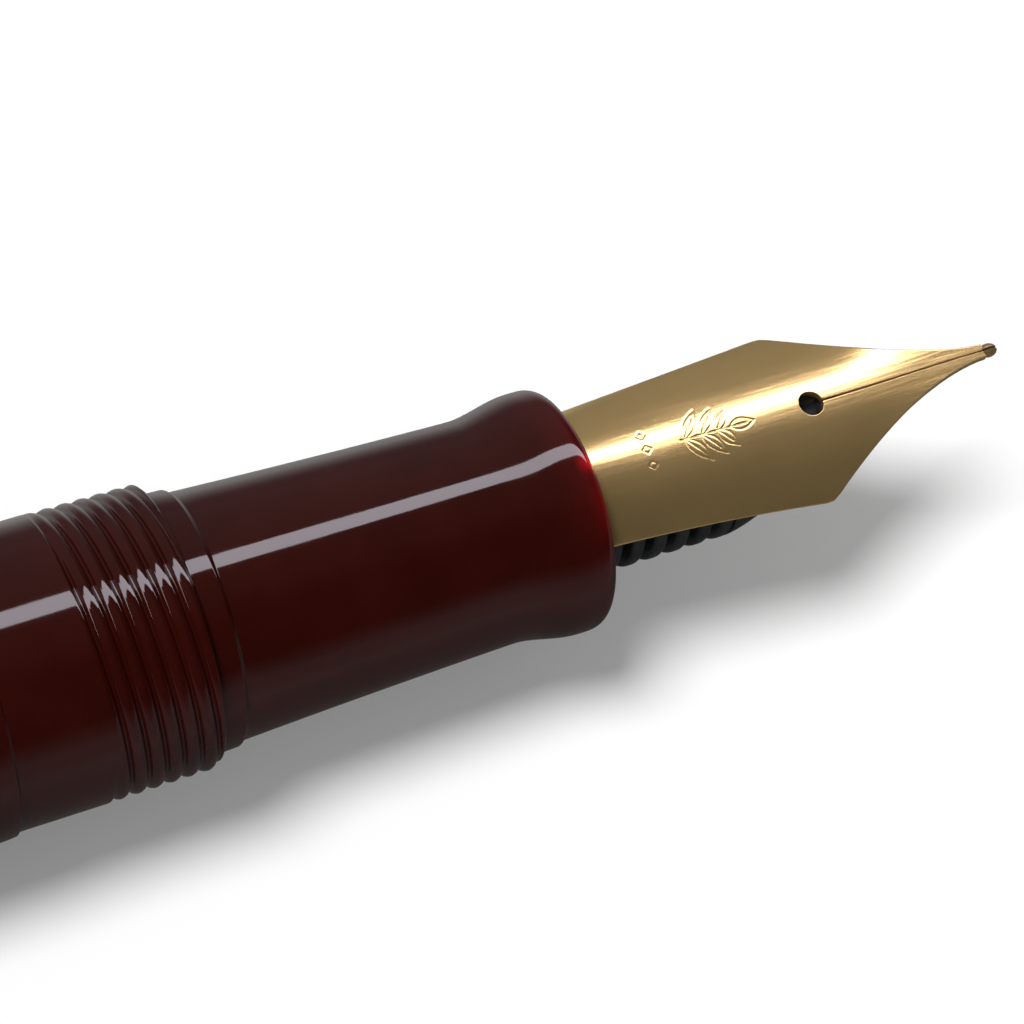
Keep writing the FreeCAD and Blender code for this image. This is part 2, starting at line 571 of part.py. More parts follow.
def make_cap_shell():
    band_end = CAP_BAND_FROM + CAP_BAND_WIDTH
    ring_end = TRIM_RING_FROM + TRIM_RING_WIDTH
    lip = [(cap_x(CAP_LIP * (1 - math.sin(a))), CAP_MOUTH_R - CAP_LIP_R * (1 - math.cos(a)))
           for a in (math.pi / 2, math.pi / 4, 0)]
    side = [(cap_x(d), cap_radius(d)) for d in steps(ring_end, CAP_TOP_DEPTH, 9)]
    web_depth = CAP_TOP_DEPTH - CAP_WEB
    shape = turned(
        (cap_x(0), CAP_MOUTH_BORE_R + CAP_MOUTH_LEAD_IN), lip,
        (cap_x(CAP_BAND_FROM), cap_radius(CAP_BAND_FROM)), (cap_x(CAP_BAND_FROM), BAND_SEAT_R),
        (cap_x(band_end), BAND_SEAT_R), (cap_x(band_end), cap_radius(band_end)),
        (cap_x(TRIM_RING_FROM), cap_radius(TRIM_RING_FROM)), (cap_x(TRIM_RING_FROM), BAND_SEAT_R),
        (cap_x(ring_end), BAND_SEAT_R), side,
        (cap_x(CAP_TOP_DEPTH), STUD_HOLE_R), (cap_x(web_depth), STUD_HOLE_R),
        (cap_x(web_depth), CAP_BORE_R), (cap_x(CAP_BORE_FROM), CAP_BORE_R),
        (cap_x(CAP_BORE_FROM - CAP_SCREW_CONE), CAP_SCREW_BORE_R), (cap_x(CAP_SCREW_FROM), CAP_SCREW_BORE_R),
        (cap_x(CAP_SCREW_FROM), CAP_MOUTH_BORE_R), (cap_x(CAP_MOUTH_LEAD_IN), CAP_MOUTH_BORE_R))
    ridges = helical_ridges(CAP_SCREW_BORE_R + SLACK, CAP_SCREW_CREST_R, CAP_SCREW_RIDGE,
                            THREAD_PITCH * THREAD_STARTS, THREAD_STARTS,
                            cap_x(CAP_SCREW_TO), cap_x(CAP_SCREW_FROM + CAP_SCREW_RIDGE))
    return shape.fuse(ridges)


def ring(x_from, width, inner, outer):
    """Trim ring with softened outer corners."""
    rear = x_from - width
    return turned((x_from, inner), (x_from, outer - EDGE), (x_from - EDGE, outer),
                  (rear + EDGE, outer), (rear, outer - EDGE), (rear, inner))


def make_cap_band():
    return ring(cap_x(CAP_BAND_FROM), CAP_BAND_WIDTH, BAND_SEAT_R, CAP_BAND_R)


def make_cap_trim_ring():
    return ring(cap_x(TRIM_RING_FROM), TRIM_RING_WIDTH, BAND_SEAT_R, TRIM_RING_R)


def make_cap_liner():
    mouth = cap_x(LINER_MOUTH)
    floor = cap_x(LINER_TOP - LINER_TOP_WALL)
    return turned((mouth, LINER_BORE_R + LINER_LEAD_IN_R), (mouth, LINER_R), (cap_x(LINER_TOP), LINER_R),
                  (cap_x(LINER_TOP), 0), (floor, 0), (floor, LINER_BORE_R),
                  (mouth - LINER_LEAD_IN, LINER_BORE_R))


def make_clip_ring():
    """Washer held between cap and finial, with an upstanding lug that carries the clip."""
    front = cap_x(CAP_TOP_DEPTH)
    rear = front - CLIP_RING_THICKNESS
    washer = rod(CLIP_RING_R, rear, front)
    lug = block(rear, front, CLIP_LUG_HALF, CLIP_LUG_FOOT, CLIP_LUG_TOP)
    return washer.fuse(lug).cut(rod(STUD_HOLE_R, rear - PAST, front + PAST)).removeSplitter()


def clip_slice(depth, bottom, half_width, thickness):
    """Cross-section of the clip: flat underneath, crowned on top."""
    x = cap_x(depth)
    left = V(x, -half_width, bottom + CLIP_EDGE_SHARE * thickness)
    right = V(x, half_width, bottom + CLIP_EDGE_SHARE * thickness)
    crown = Part.Arc(left, V(x, 0, bottom + thickness), right).toShape()
    feet = [V(x, -half_width, bottom), V(x, half_width, bottom)]
    flat = Part.makePolygon([right, feet[1], feet[0], left])
    return Part.Wire([crown] + flat.Edges)


def make_clip():
    ball_z = cap_radius(CLIP_BALL_DEPTH) + SLACK + CLIP_BALL_R
    slices = [clip_slice(*numbers) for numbers in CLIP_ARM]
    front_bottom = ball_z - CLIP_FRONT_DROP
    slices.append(clip_slice(CLIP_BALL_DEPTH, front_bottom, CLIP_FRONT_HALF, CLIP_FRONT_THICKNESS))
    arm = Part.makeLoft(slices, True, False)
    ball = Part.makeSphere(CLIP_BALL_R, V(cap_x(CLIP_BALL_DEPTH), 0, ball_z))
    return arm.fuse(ball)


def make_finial():
    foot = cap_x(CAP_TOP_DEPTH) - CLIP_RING_THICKNESS
    top = cap_x(FINIAL_TOP_DEPTH)
    dome_foot = foot - FINIAL_SIDE
    dome = [(dome_foot + (top - dome_foot) * math.sin(math.radians(a)),
             CAP_TOP_R * math.cos(math.radians(a))) for a in steps(0, 90, 9)]
    return turned((foot, STUD_R), (foot, CAP_TOP_R - FINIAL_EDGE), (foot - FINIAL_EDGE, CAP_TOP_R), dome,
                  (cap_x(STUD_REAR_DEPTH), 0), (cap_x(STUD_REAR_DEPTH), STUD_R))


def make_finial_stud():
    return rod(STUD_R, cap_x(STUD_REAR_DEPTH), cap_x(STUD_FRONT_DEPTH))


def make_cap_nut():
    rear = cap_x(CAP_TOP_DEPTH - CAP_WEB) + SLACK
    corner = NUT_FLATS / math.sqrt(3)
    corners = [V(rear, corner * math.cos(math.radians(60 * i)), corner * math.sin(math.radians(60 * i)))
               for i in range(7)]
    hexagon = Part.Face(Part.makePolygon(corners)).extrude(V(NUT_LENGTH, 0, 0))
    return hexagon.cut(rod(STUD_R, rear - PAST, rear + NUT_LENGTH + PAST))


def build():
    nib = make_nib()
    return {
        "barrel": make_barrel(),
        "section": make_section(),
        "nib": nib,
        "nib_tipping": make_nib_tipping(nib),
        "feed": make_feed(),
        "nib_housing": make_nib_housing(),
        "converter_socket": make_converter_socket(),
        "converter_tube": make_converter_tube(),
        "converter_band": make_converter_band(),
        "converter_guide": make_converter_guide(),
        "converter_spindle": make_converter_spindle(),
        "converter_knob": make_converter_knob(),
        "piston_rod": make_piston_rod(),
        "piston_seal": make_piston_seal(),
        "cap_shell": make_cap_shell(),
        "cap_liner": make_cap_liner(),
        "cap_band": make_cap_band(),
        "cap_trim_ring": make_cap_trim_ring(),
        "cap_nut": make_cap_nut(),
        "clip_ring": make_clip_ring(),
        "clip": make_clip(),
        "finial": make_finial(),
        "finial_stud": make_finial_stud(),
    }


os.makedirs("parts", exist_ok=True)
for node, shape in build().items():
    box = shape.BoundBox
    print(f"{node}: {len(shape.Solids)} solid, valid {shape.isValid()}, {shape.Volume:.1f} mm3, "
          f"x {box.XMin:.2f}..{box.XMax:.2f}, z {box.ZMin:.2f}..{box.ZMax:.2f}")
    shape.exportStep(f"parts/{node}.step")
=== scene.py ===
"""Looks of the fountain pen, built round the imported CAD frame. The pen lies along X with its nib towards
+X and the nib's face up. Lengths inside the mesh builders are millimetres and become metres in make_piece."""
import bmesh
import bpy
import math
import numpy as np
from mathutils import Matrix, Vector


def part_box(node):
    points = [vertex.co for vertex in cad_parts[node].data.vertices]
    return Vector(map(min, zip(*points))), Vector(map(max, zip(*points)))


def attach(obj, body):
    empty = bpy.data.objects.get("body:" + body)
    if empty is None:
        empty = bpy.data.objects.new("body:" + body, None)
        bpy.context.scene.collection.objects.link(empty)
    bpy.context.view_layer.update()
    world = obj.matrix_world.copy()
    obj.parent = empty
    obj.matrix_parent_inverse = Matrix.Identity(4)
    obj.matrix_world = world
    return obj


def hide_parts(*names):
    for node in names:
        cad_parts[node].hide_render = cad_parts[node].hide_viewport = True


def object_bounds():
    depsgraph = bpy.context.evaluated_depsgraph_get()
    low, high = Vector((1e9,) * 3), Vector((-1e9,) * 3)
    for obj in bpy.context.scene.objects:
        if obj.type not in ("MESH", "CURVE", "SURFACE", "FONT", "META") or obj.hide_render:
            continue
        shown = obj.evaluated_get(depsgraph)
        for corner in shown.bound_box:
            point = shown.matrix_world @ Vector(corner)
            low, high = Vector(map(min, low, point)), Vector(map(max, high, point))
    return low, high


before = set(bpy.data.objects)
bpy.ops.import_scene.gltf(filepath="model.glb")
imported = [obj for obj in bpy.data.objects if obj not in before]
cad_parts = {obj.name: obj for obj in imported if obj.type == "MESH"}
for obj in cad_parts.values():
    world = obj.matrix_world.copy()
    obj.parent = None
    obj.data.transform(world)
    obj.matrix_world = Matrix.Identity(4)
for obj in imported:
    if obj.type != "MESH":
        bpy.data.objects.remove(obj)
CAD_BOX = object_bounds()
MM = 0.001
WELD_M = 1e-7                       # points closer than this, in metres, are one
SLIVER_M = 1e-8
FAR = 9.0                           # stands for no limit, in millimetres


def span(node):
    """Lowest and highest corner of a CAD node in millimetres."""
    low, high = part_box(node)
    return np.array(low) / MM, np.array(high) / MM


# ---------------------------------------------------------------- places and sizes, from the frame
BARREL_LOW, BARREL_HIGH = span("barrel")
SECTION_LOW, SECTION_HIGH = span("section")
NIB_LOW, NIB_HIGH = span("nib")
CAP_LOW, CAP_HIGH = span("cap_shell")
MOUTH_X = BARREL_HIGH[0]            # barrel's mouth, where the section's collar seats
TAIL_X = BARREL_LOW[0]
BELLY_R = BARREL_HIGH[1]
LIP_FACE_X = SECTION_HIGH[0]
TENON_END = SECTION_LOW[0]
COLLAR_R = SECTION_HIGH[1]
CAP_MOUTH_X = CAP_HIGH[0]
CAP_TOP_X = CAP_LOW[0]
NIB_TINE_END = NIB_HIGH[0]
NIB_ROOT = NIB_LOW[0]

# ---------------------------------------------------------------- shape of the resin parts
BORE_R = 4.2
BORE_END = -58.0
DRILL_POINT_END = -61.0
SCREW_SOCKET_R = 4.45
SCREW_SOCKET_END = -4.5
NECK_R = 5.89
MOUTH_R = 5.72
STEP_X = -1.9
STEP_R = 6.05
BELLY_X = -25.0
TAIL_DOME = 7.5
TAPER_SHARE = 0.355
TAPER_POWER = 1.5
THREAD_PITCH = 0.72
THREAD_STARTS = 3
THREAD_DEPTH = 0.16
THREAD_GROOVE = 0.25        # half of a groove's share of the pitch
THREAD_CROWN = 0.055        # how far the crests are rounded down at their edges
CROWN_POWER = 1.8
THREAD_ROW = 0.028          # distance between mesh rows along the thread
THREAD_END_X = 1.85
THREAD_TAPER = 0.03         # the crests stand this much lower at the mouth
GRIP_X = 19.75
GRIP_R = 4.75
LIP_R = 5.18
LIP_ROUND = 0.85
LIP_FULLNESS = 0.78        # below 1 the rounding is fuller than a circle's
LIP_CREST_X = 22.65
GRIP_LENGTH = 12.4
GRIP_WIDENING = 0.42
GRIP_HOLLOW = 0.14
COLLAR_FOOT_X = 7.68
COLLAR_X = 7.45
COLLAR_FRONT_R = 5.33
LIP_BORE_R = 4.05
UNIT_BORE_FRONT = 21.6
TENON_R = 4.40
TENON_PITCH = 0.75
TENON_DEPTH = 0.25
UNIT_BORE_R = 3.97
UNIT_BORE_END = 10.4
NIPPLE_HOLE_R = 2.0
CONVERTER_BORE_R = 3.35
CONVERTER_BORE_FRONT = 9.0


# ---------------------------------------------------------------- mesh building
def make_piece(name, verts, faces, sharp_degrees=35.0):
    """A mesh object from millimetre points, welded, with outward normals and smooth shading."""
    mesh = bpy.data.meshes.new(name)
    mesh.from_pydata((np.asarray(verts) * MM).tolist(), [], [tuple(map(int, f)) for f in faces])
    piece = bpy.data.objects.new(name, mesh)
    bpy.context.scene.collection.objects.link(piece)
    tidy_mesh(mesh, sharp_degrees)
    return piece


def tidy_mesh(mesh, sharp_degrees):
    """Weld the mesh, turn its faces outward and shade it smooth up to the sharp angle."""
    work = bmesh.new()
    work.from_mesh(mesh)
    bmesh.ops.remove_doubles(work, verts=work.verts, dist=WELD_M)
    bmesh.ops.dissolve_degenerate(work, edges=work.edges, dist=SLIVER_M)
    bmesh.ops.recalc_face_normals(work, faces=work.faces)
    work.to_mesh(mesh)
    work.free()
    mesh.shade_smooth()
    mesh.set_sharp_from_angle(angle=math.radians(sharp_degrees))


def rounded(corners, steps=5):
    """Closed or open outline from (x, r) corners. A corner with a third number is rounded to that radius,
    and a list of pairs among the corners is a ready-made curve that is kept as it is."""
    flat = []
    for item in corners:
        if isinstance(item, list):
            flat += [(x, r, 0.0) for x, r in item]
        else:
            flat.append(tuple(item) + (0.0,) * (3 - len(item)))
    points = []
    count = len(flat)
    for i, (x, r, fillet) in enumerate(flat):
        if fillet == 0.0:
            points.append((x, r))
            continue
        here = np.array([x, r])
        before = np.array(flat[i - 1][:2]) - here
        after = np.array(flat[(i + 1) % count][:2]) - here
        before /= np.linalg.norm(before)
        after /= np.linalg.norm(after)
        half = math.acos(float(np.clip(before @ after, -1, 1))) / 2
        reach = fillet / math.tan(half)
        middle = (before + after) / np.linalg.norm(before + after)
        centre = here + middle * fillet / math.sin(half)
        start = here + before * reach - centre
        end = here + after * reach - centre
        turn = math.atan2(start[0] * end[1] - start[1] * end[0], start @ end)
        for k in range(steps + 1):
            a = turn * k / steps
            points.append((centre[0] + start[0] * math.cos(a) - start[1] * math.sin(a),
                           centre[1] + start[0] * math.sin(a) + start[1] * math.cos(a)))
    return points


def lathe(name, outline, around=192, relief=None, sharp_degrees=35.0):
    """Mesh turned about the pen's axis. The outline is a closed loop of (x, r) points, or runs from the
    axis to the axis. relief(x, r, turn) gives a change of radius, for threads and flutes."""
    outline = np.asarray(outline, float)
    turn = np.linspace(0, 2 * math.pi, around, endpoint=False)
    x = np.repeat(outline[:, :1], around, axis=1)
    r = np.repeat(outline[:, 1:], around, axis=1)
    angle = np.repeat(turn[None, :], len(outline), axis=0)
    if relief is not None:
        r = r + relief(x, r, angle)
    verts = np.stack([x, r * np.sin(angle), r * np.cos(angle)], axis=-1).reshape(-1, 3)
    poled = outline[0, 1] < 1e-9 and outline[-1, 1] < 1e-9
    rows = len(outline) - (1 if poled else 0)
    faces = []
    for i in range(rows):
        a = i * around
        b = ((i + 1) % len(outline)) * around
        for j in range(around):
            k = (j + 1) % around
            faces.append((a + j, a + k, b + k, b + j))
    return make_piece(name, verts, faces, sharp_degrees)


def tube_faces(rows, around, base=0):
    """Faces of a tube closed at both ends, from rings of points numbered on from base."""
    faces = []
    for i in range(rows - 1):
        for j in range(around):
            k = (j + 1) % around
            a = base + i * around
            faces.append((a + j, a + k, a + around + k, a + around + j))
    for first in (base, base + (rows - 1) * around):
        faces.append(tuple(range(first, first + around)))
    return faces


def helix_phase(x, turn, pitch, starts):
    """Distance along the pitch from the nearest groove of a right-handed thread, in -0.5..0.5."""
    along = x / pitch + starts * turn / (2 * math.pi)
    return along - np.round(along)


# ---------------------------------------------------------------- barrel and section
def barrel_radius(x):
    """Outer radius of the barrel: widest at the belly, tapering to a domed tail."""
    if x > BELLY_X:
        return BELLY_R - (BELLY_R - STEP_R) * ((x - BELLY_X) / (STEP_X - BELLY_X)) ** 2
    taper = (BELLY_X - x) / (BELLY_X - TAIL_X)
    dome = max(0.0, TAIL_X + TAIL_DOME - x) / TAIL_DOME
    return BELLY_R * (1 - TAPER_SHARE * taper ** TAPER_POWER) * math.sqrt(max(0.0, 1 - dome ** 2))


def smooth(t):
    """Ease from 0 to 1 with level ends."""
    t = np.clip(t, 0, 1)
    return t * t * (3 - 2 * t)


def cap_thread(x, r, turn):
    """Narrow rounded grooves between broad crowned ridges, fading out before the smooth neck."""
    q = np.abs(helix_phase(x, turn, THREAD_PITCH, THREAD_STARTS))
    groove = np.where(q < THREAD_GROOVE, (1 + np.cos(np.pi * q / THREAD_GROOVE)) / 2, 0)
    crown = np.clip((0.5 - q) / (0.5 - THREAD_GROOVE), 0, 1) ** CROWN_POWER
    fade = smooth((x - THREAD_END_X) / 0.35) * smooth((MOUTH_X + 0.15 - x) / 0.3)
    depth = fade * (THREAD_DEPTH * groove + THREAD_CROWN * crown)
    depth += THREAD_TAPER * np.clip((x - THREAD_END_X) / (MOUTH_X - THREAD_END_X), 0, 1)
    return np.where(r > 5.0, -depth, 0)


def make_barrel():
    """Barrel with its blind bore, screw neck and cigar-shaped body."""
    neck_rows = [(x, NECK_R) for x in np.arange(MOUTH_X - 0.20, THREAD_END_X - 0.15, -THREAD_ROW)]
    body_x = list(np.linspace(STEP_X - 0.6, TAIL_X + TAIL_DOME, 60))
    dome = [TAIL_X + TAIL_DOME * (1 - math.sin(a)) for a in np.linspace(0, math.pi / 2, 26)][1:]
    body = [(x, barrel_radius(x)) for x in body_x] + [(x, barrel_radius(x)) for x in dome]
    outline = rounded([
        (DRILL_POINT_END, 0), (BORE_END, BORE_R), (SCREW_SOCKET_END, BORE_R),
        (SCREW_SOCKET_END, SCREW_SOCKET_R), (MOUTH_X, SCREW_SOCKET_R, 0.08), (MOUTH_X, MOUTH_R, 0.05),
        (MOUTH_X - 0.12, NECK_R, 0.06), neck_rows, (STEP_X + 0.1, NECK_R, 0.05),
        (STEP_X, STEP_R - 0.03, 0.05), (STEP_X - 0.3, STEP_R, 0.2), body])
    outline[-1] = (TAIL_X, 0.0)
    return lathe("barrel_body", outline, 360, cap_thread, 50)


def grip_radius(x):
    """Outer radius of the section: flared lip, slim waist and the collar at its foot."""
    if x > GRIP_X:
        along = (LIP_CREST_X - x) / (LIP_CREST_X - GRIP_X)
        return GRIP_R + (LIP_R - GRIP_R) * (1 + math.cos(math.pi * along)) / 2
    along = (GRIP_X - x) / GRIP_LENGTH
    radius = GRIP_R + GRIP_WIDENING * along - GRIP_HOLLOW * along * (1 - along)
    if x < COLLAR_FOOT_X:
        rise = min(1.0, (COLLAR_FOOT_X - x) / (COLLAR_FOOT_X - COLLAR_X))
        radius += (COLLAR_FRONT_R - radius) * (1 - math.cos(math.pi * rise)) / 2
    return radius


def tenon_thread(x, r, turn):
    """Single-start grooves on the section's screw tenon only."""
    q = helix_phase(x, turn, TENON_PITCH, 1)
    fade = smooth((x - TENON_END) / 0.3) * smooth((MOUTH_X - 1.1 - x) / 0.3)
    on_tenon = (r > 4.3) & (r < 4.45) & (x < MOUTH_X - 0.05)
    return np.where(on_tenon, -TENON_DEPTH * fade * (0.5 + 0.5 * np.cos(2 * np.pi * q)) ** 1.5, 0)


def make_section():
    """Section with its lip, collar, screw tenon and stepped bore."""
    lip = [(LIP_FACE_X - LIP_ROUND * (1 - math.cos(a) ** LIP_FULLNESS),
            LIP_R - LIP_ROUND * (1 - math.sin(a) ** LIP_FULLNESS)) for a in np.linspace(0, math.pi / 2, 24)]
    stations = list(np.linspace(LIP_CREST_X, GRIP_X, 26)) + list(np.linspace(GRIP_X, COLLAR_FOOT_X, 20)[1:])
    stations += list(np.linspace(COLLAR_FOOT_X, COLLAR_X, 12)[1:])
    grip = [(x, grip_radius(x)) for x in stations]
    tenon = [(x, TENON_R) for x in np.arange(MOUTH_X - 0.9, TENON_END + 0.25, -0.06)]
    outline = rounded([
        lip, grip, (MOUTH_X, COLLAR_R, 0.07), (MOUTH_X, TENON_R), tenon, (TENON_END, TENON_R - 0.15, 0.05),
        (TENON_END, CONVERTER_BORE_R), (CONVERTER_BORE_FRONT, CONVERTER_BORE_R),
        (CONVERTER_BORE_FRONT, NIPPLE_HOLE_R), (UNIT_BORE_END, NIPPLE_HOLE_R), (UNIT_BORE_END, UNIT_BORE_R),
        (UNIT_BORE_FRONT, UNIT_BORE_R), (UNIT_BORE_FRONT, LIP_BORE_R), (LIP_FACE_X, LIP_BORE_R, 0.1)])
    return lathe("section_grip", outline, 360, tenon_thread, 50)


# ---------------------------------------------------------------- nib
NIB_X = 23.35                       # where lengths along the nib are counted from
NIB_SHOULDER = 10.67
NIB_SHEET = 0.30
NIB_EDGE = 0.05                     # rounding of the sheet's outer edges
SLIT_EDGE = 0.012                   # rounding along the slit and round the hole
NIB_RIDGE = 3.44
NIB_FLARE_X = -1.8                  # the tight root opens from here to the lip
NIB_ROOT_R = 3.44
NIB_LIP_R = 3.97
NIB_TIP_RISE = 0.16
NIB_SHOULDER_R = 6.41
NIB_TIP_CURVATURE = 0.008
NIB_ROOT_HALF = 2.70
NIB_LIP_HALF = 3.12
NIB_TIP_HALF = 0.33
NIB_SHOULDER_HALF = 4.01
NIB_TINE_POWER = 1.65
NIB_WIDENING = 0.055
NIB_SPREADING = 0.00265
NIB_CORNER_CUT = 0.05               # how much the shoulder's corner is rounded off
NIB_CORNER_LENGTH = 0.22
NIB_OPENING_POWER = 2.2
NIB_SLOPE_LENGTH = 12.0
NIB_SLOPE_POWER = 1.5
BREATHER_X = 10.96
BREATHER_R = 0.55
SLIT = 0.10
ENGRAVING_DEPTH = 0.017
ENGRAVING_WIDTH = 0.075
ENGRAVED_FROM, ENGRAVED_TO = 2.3, 8.8
PELLET_LENGTH = 0.84
PELLET_R = 0.31
PELLET_OVERLAP = 0.14
PELLET_FLATNESS = 0.92


def nib_half_width(x):
    """Half of the sheet's width across the pen, with the shoulder's corner eased."""
    along = np.clip(x, 0, NIB_SHOULDER)
    body = NIB_LIP_HALF + NIB_WIDENING * along + NIB_SPREADING * along ** 2
    root = NIB_ROOT_HALF + (NIB_LIP_HALF - NIB_ROOT_HALF) * np.clip(1 - x / NIB_FLARE_X, 0, 1)
    left = np.clip((NIB_TINE_END - NIB_X - x) / (NIB_TINE_END - NIB_X - NIB_SHOULDER), 0, 1)
    tine = NIB_TIP_HALF + (NIB_SHOULDER_HALF - NIB_TIP_HALF) * left ** NIB_TINE_POWER
    free = np.where(x <= 0, root, np.where(x <= NIB_SHOULDER, body, tine))
    corner = np.exp(-((x - NIB_SHOULDER) / NIB_CORNER_LENGTH) ** 2)
    return free - NIB_CORNER_CUT * corner


def nib_curvature(x):
    """One over the radius that the sheet is rolled to: tight at the root, almost flat at the tip."""
    shoulder = 1 / NIB_SHOULDER_R
    root = 1 / (NIB_ROOT_R + (NIB_LIP_R - NIB_ROOT_R) * np.clip(1 - x / NIB_FLARE_X, 0, 1))
    left = 1 - np.clip(x / NIB_SHOULDER, 0, 1)
    body = shoulder + (1 / NIB_LIP_R - shoulder) * left ** NIB_OPENING_POWER
    tine = NIB_TIP_CURVATURE + (shoulder - NIB_TIP_CURVATURE) * (1 - smooth((x - 12.0) / 6.0))
    return np.where(x <= 0, root, np.where(x <= NIB_SHOULDER, body, tine))


def nib_ridge(x):
    """Height of the nib's middle line above the pen's axis."""
    slope = (NIB_LIP_R - NIB_RIDGE) * np.clip(1 - x / NIB_SLOPE_LENGTH, 0, 1) ** NIB_SLOPE_POWER
    visible = NIB_RIDGE + slope + NIB_TIP_RISE * smooth((x - 13.0) / 5.0)
    return np.where(x <= 0, 1 / nib_curvature(x), visible)


def leaf(base, angle, length, width):
    """Outline of a leaf, with its midrib: two shallow arcs from base to tip."""
    t = np.linspace(0, 1, 15)
    bulge = width / 2 * np.sin(np.pi * t ** 0.85)
    turn = np.array([[math.cos(angle), -math.sin(angle)], [math.sin(angle), math.cos(angle)]])
    strokes = [np.stack([t * length, side * bulge], 1) for side in (1, -1)]
    strokes.append(np.array([[0.0, 0.0], [length * 0.72, 0.0]]))
    return [s @ turn.T + np.array(base) for s in strokes]


def engraving():
    """Generic ornament: a sprig of leaves along the middle line, and a row of lozenges behind it."""
    strokes = [np.array([[4.75, 0.0], [7.2, 0.0]])]
    for base, length in ((4.95, 1.5), (5.75, 1.35), (6.5, 1.1)):
        for side in (1, -1):
            strokes += leaf((base, 0.0), side * math.radians(52), length, 0.5)
    strokes += leaf((7.1, 0.0), 0.0, 1.1, 0.5)
    for y in (-0.7, 0.0, 0.7):
        lozenge = [[3.0, y], [3.2, y + 0.17], [3.4, y], [3.2, y - 0.17], [3.0, y]]
        strokes.append(np.array(lozenge))
    return strokes


def engraved_depth(x, y):
    """Depth of the engraving below the nib's face at flat coordinates x, y."""
    points = np.stack([x.ravel(), y.ravel()], 1)
    nearest = np.full(len(points), FAR)
    along, side = points[:, 0], np.abs(points[:, 1])
    inside = (along > ENGRAVED_FROM) & (along < ENGRAVED_TO) & (side < 1.8)
    for stroke in engraving():
        for a, b in zip(stroke[:-1], stroke[1:]):
            d = b - a
            t = np.clip(((points[inside] - a) @ d) / (d @ d), 0, 1)
            gap = np.linalg.norm(points[inside] - a - t[:, None] * d, axis=1)
            nearest[inside] = np.minimum(nearest[inside], gap)
    depth = ENGRAVING_DEPTH * np.exp(-(nearest / (ENGRAVING_WIDTH / 2)) ** 2)
    return depth.reshape(x.shape)


def nib_stations():
    """Places of the mesh rows along the nib, closest over the engraving and round the breather hole."""
    end = NIB_TINE_END - NIB_X
    root = NIB_ROOT - NIB_X
    hole = BREATHER_X - BREATHER_R * np.cos(np.linspace(0, math.pi, 33))
    near_hole = BREATHER_X - BREATHER_R - np.array([0.006, 0.013, 0.025, 0.07])
    rows = np.concatenate([
        [root, root + 0.02, root + 0.05], np.arange(root + 0.5, NIB_FLARE_X, 0.6),
        np.arange(NIB_FLARE_X, ENGRAVED_FROM, 0.15), [0.0],
        np.arange(ENGRAVED_FROM, ENGRAVED_TO, 0.036),
        np.arange(ENGRAVED_TO, BREATHER_X - BREATHER_R - 0.1, 0.12), near_hole, hole, [NIB_SHOULDER],
        np.arange(BREATHER_X + BREATHER_R + 0.08, end, 0.1), [end]])
    return np.unique(np.round(rows, 5))


def nib_columns():
    """Shares of the way from the slit to the edge, close together at both ends and over the engraving."""
    edge = np.array([0.0, 0.0015, 0.004, 0.010, 0.018])
    middle = [np.linspace(0.025, 0.50, 48), np.linspace(0.52, 0.97, 20)]
    return np.unique(np.concatenate([edge, *middle, 1 - edge]))


def edge_drop(gap, radius):
    """How far a rounded edge falls away at a given distance in from it."""
    inset = radius - np.clip(gap, 0, radius)
    return radius - np.sqrt(radius ** 2 - inset ** 2)


def make_nib():
    """Rolled sheet in two halves that meet behind the hole and are parted by the slit before it."""
    xs = nib_stations()
    shares = nib_columns()
    sheets = []
    for side in (1, -1):
        x, share = np.meshgrid(xs, shares, indexing="ij")
        outer = nib_half_width(x)
        past = x - BREATHER_X
        hole = np.sqrt(np.clip(BREATHER_R ** 2 - past ** 2, 0, None))
        slit = np.where(past > 0, SLIT / 2 * (1 - 0.5 * past / (NIB_TINE_END - NIB_X - BREATHER_X)), 0)
        inner = np.maximum(hole, slit)
        y = inner + (outer - inner) * share
        slope = np.gradient(nib_half_width(xs), xs)[:, None]
        to_edge = (outer - y) / np.sqrt(1 + slope ** 2)
        to_hole = np.hypot(past, y) - BREATHER_R
        to_slit = np.where(past > 0, y - slit, FAR)
        drop = np.maximum(edge_drop(to_edge, NIB_EDGE), edge_drop(np.minimum(to_hole, to_slit), SLIT_EDGE))
        bend = nib_curvature(x)
        arc = np.arcsin(np.clip(y * bend, -1, 1))
        centre = nib_ridge(x) - 1 / bend
        for top in (True, False):
            depth = drop + engraved_depth(x, side * y) if top else NIB_SHEET - drop
            r = 1 / bend - depth
            sheets.append(np.stack([NIB_X + x, side * r * np.sin(arc), centre + r * np.cos(arc)], -1))
    rows, cols = len(xs), len(shares)
    verts = np.concatenate([s.reshape(-1, 3) for s in sheets])
    index = np.arange(rows * cols).reshape(rows, cols)
    faces = []
    for half in range(2):
        top = index + 2 * half * rows * cols
        low = top + rows * cols
        for grid in (top, low):
            quads = np.stack([grid[:-1, :-1], grid[1:, :-1], grid[1:, 1:], grid[:-1, 1:]], -1)
            faces += quads.reshape(-1, 4).tolist()
        walls = [(top[:, -1], low[:, -1]), (top[0], low[0]), (top[-1], low[-1])]
        cut = int(np.searchsorted(xs, BREATHER_X - BREATHER_R - 1e-4))
        walls.append((top[cut:, 0], low[cut:, 0]))
        for a, b in walls:
            faces += np.stack([a[:-1], a[1:], b[1:], b[:-1]], -1).tolist()
    return make_piece("nib_blade", verts, faces, 40)


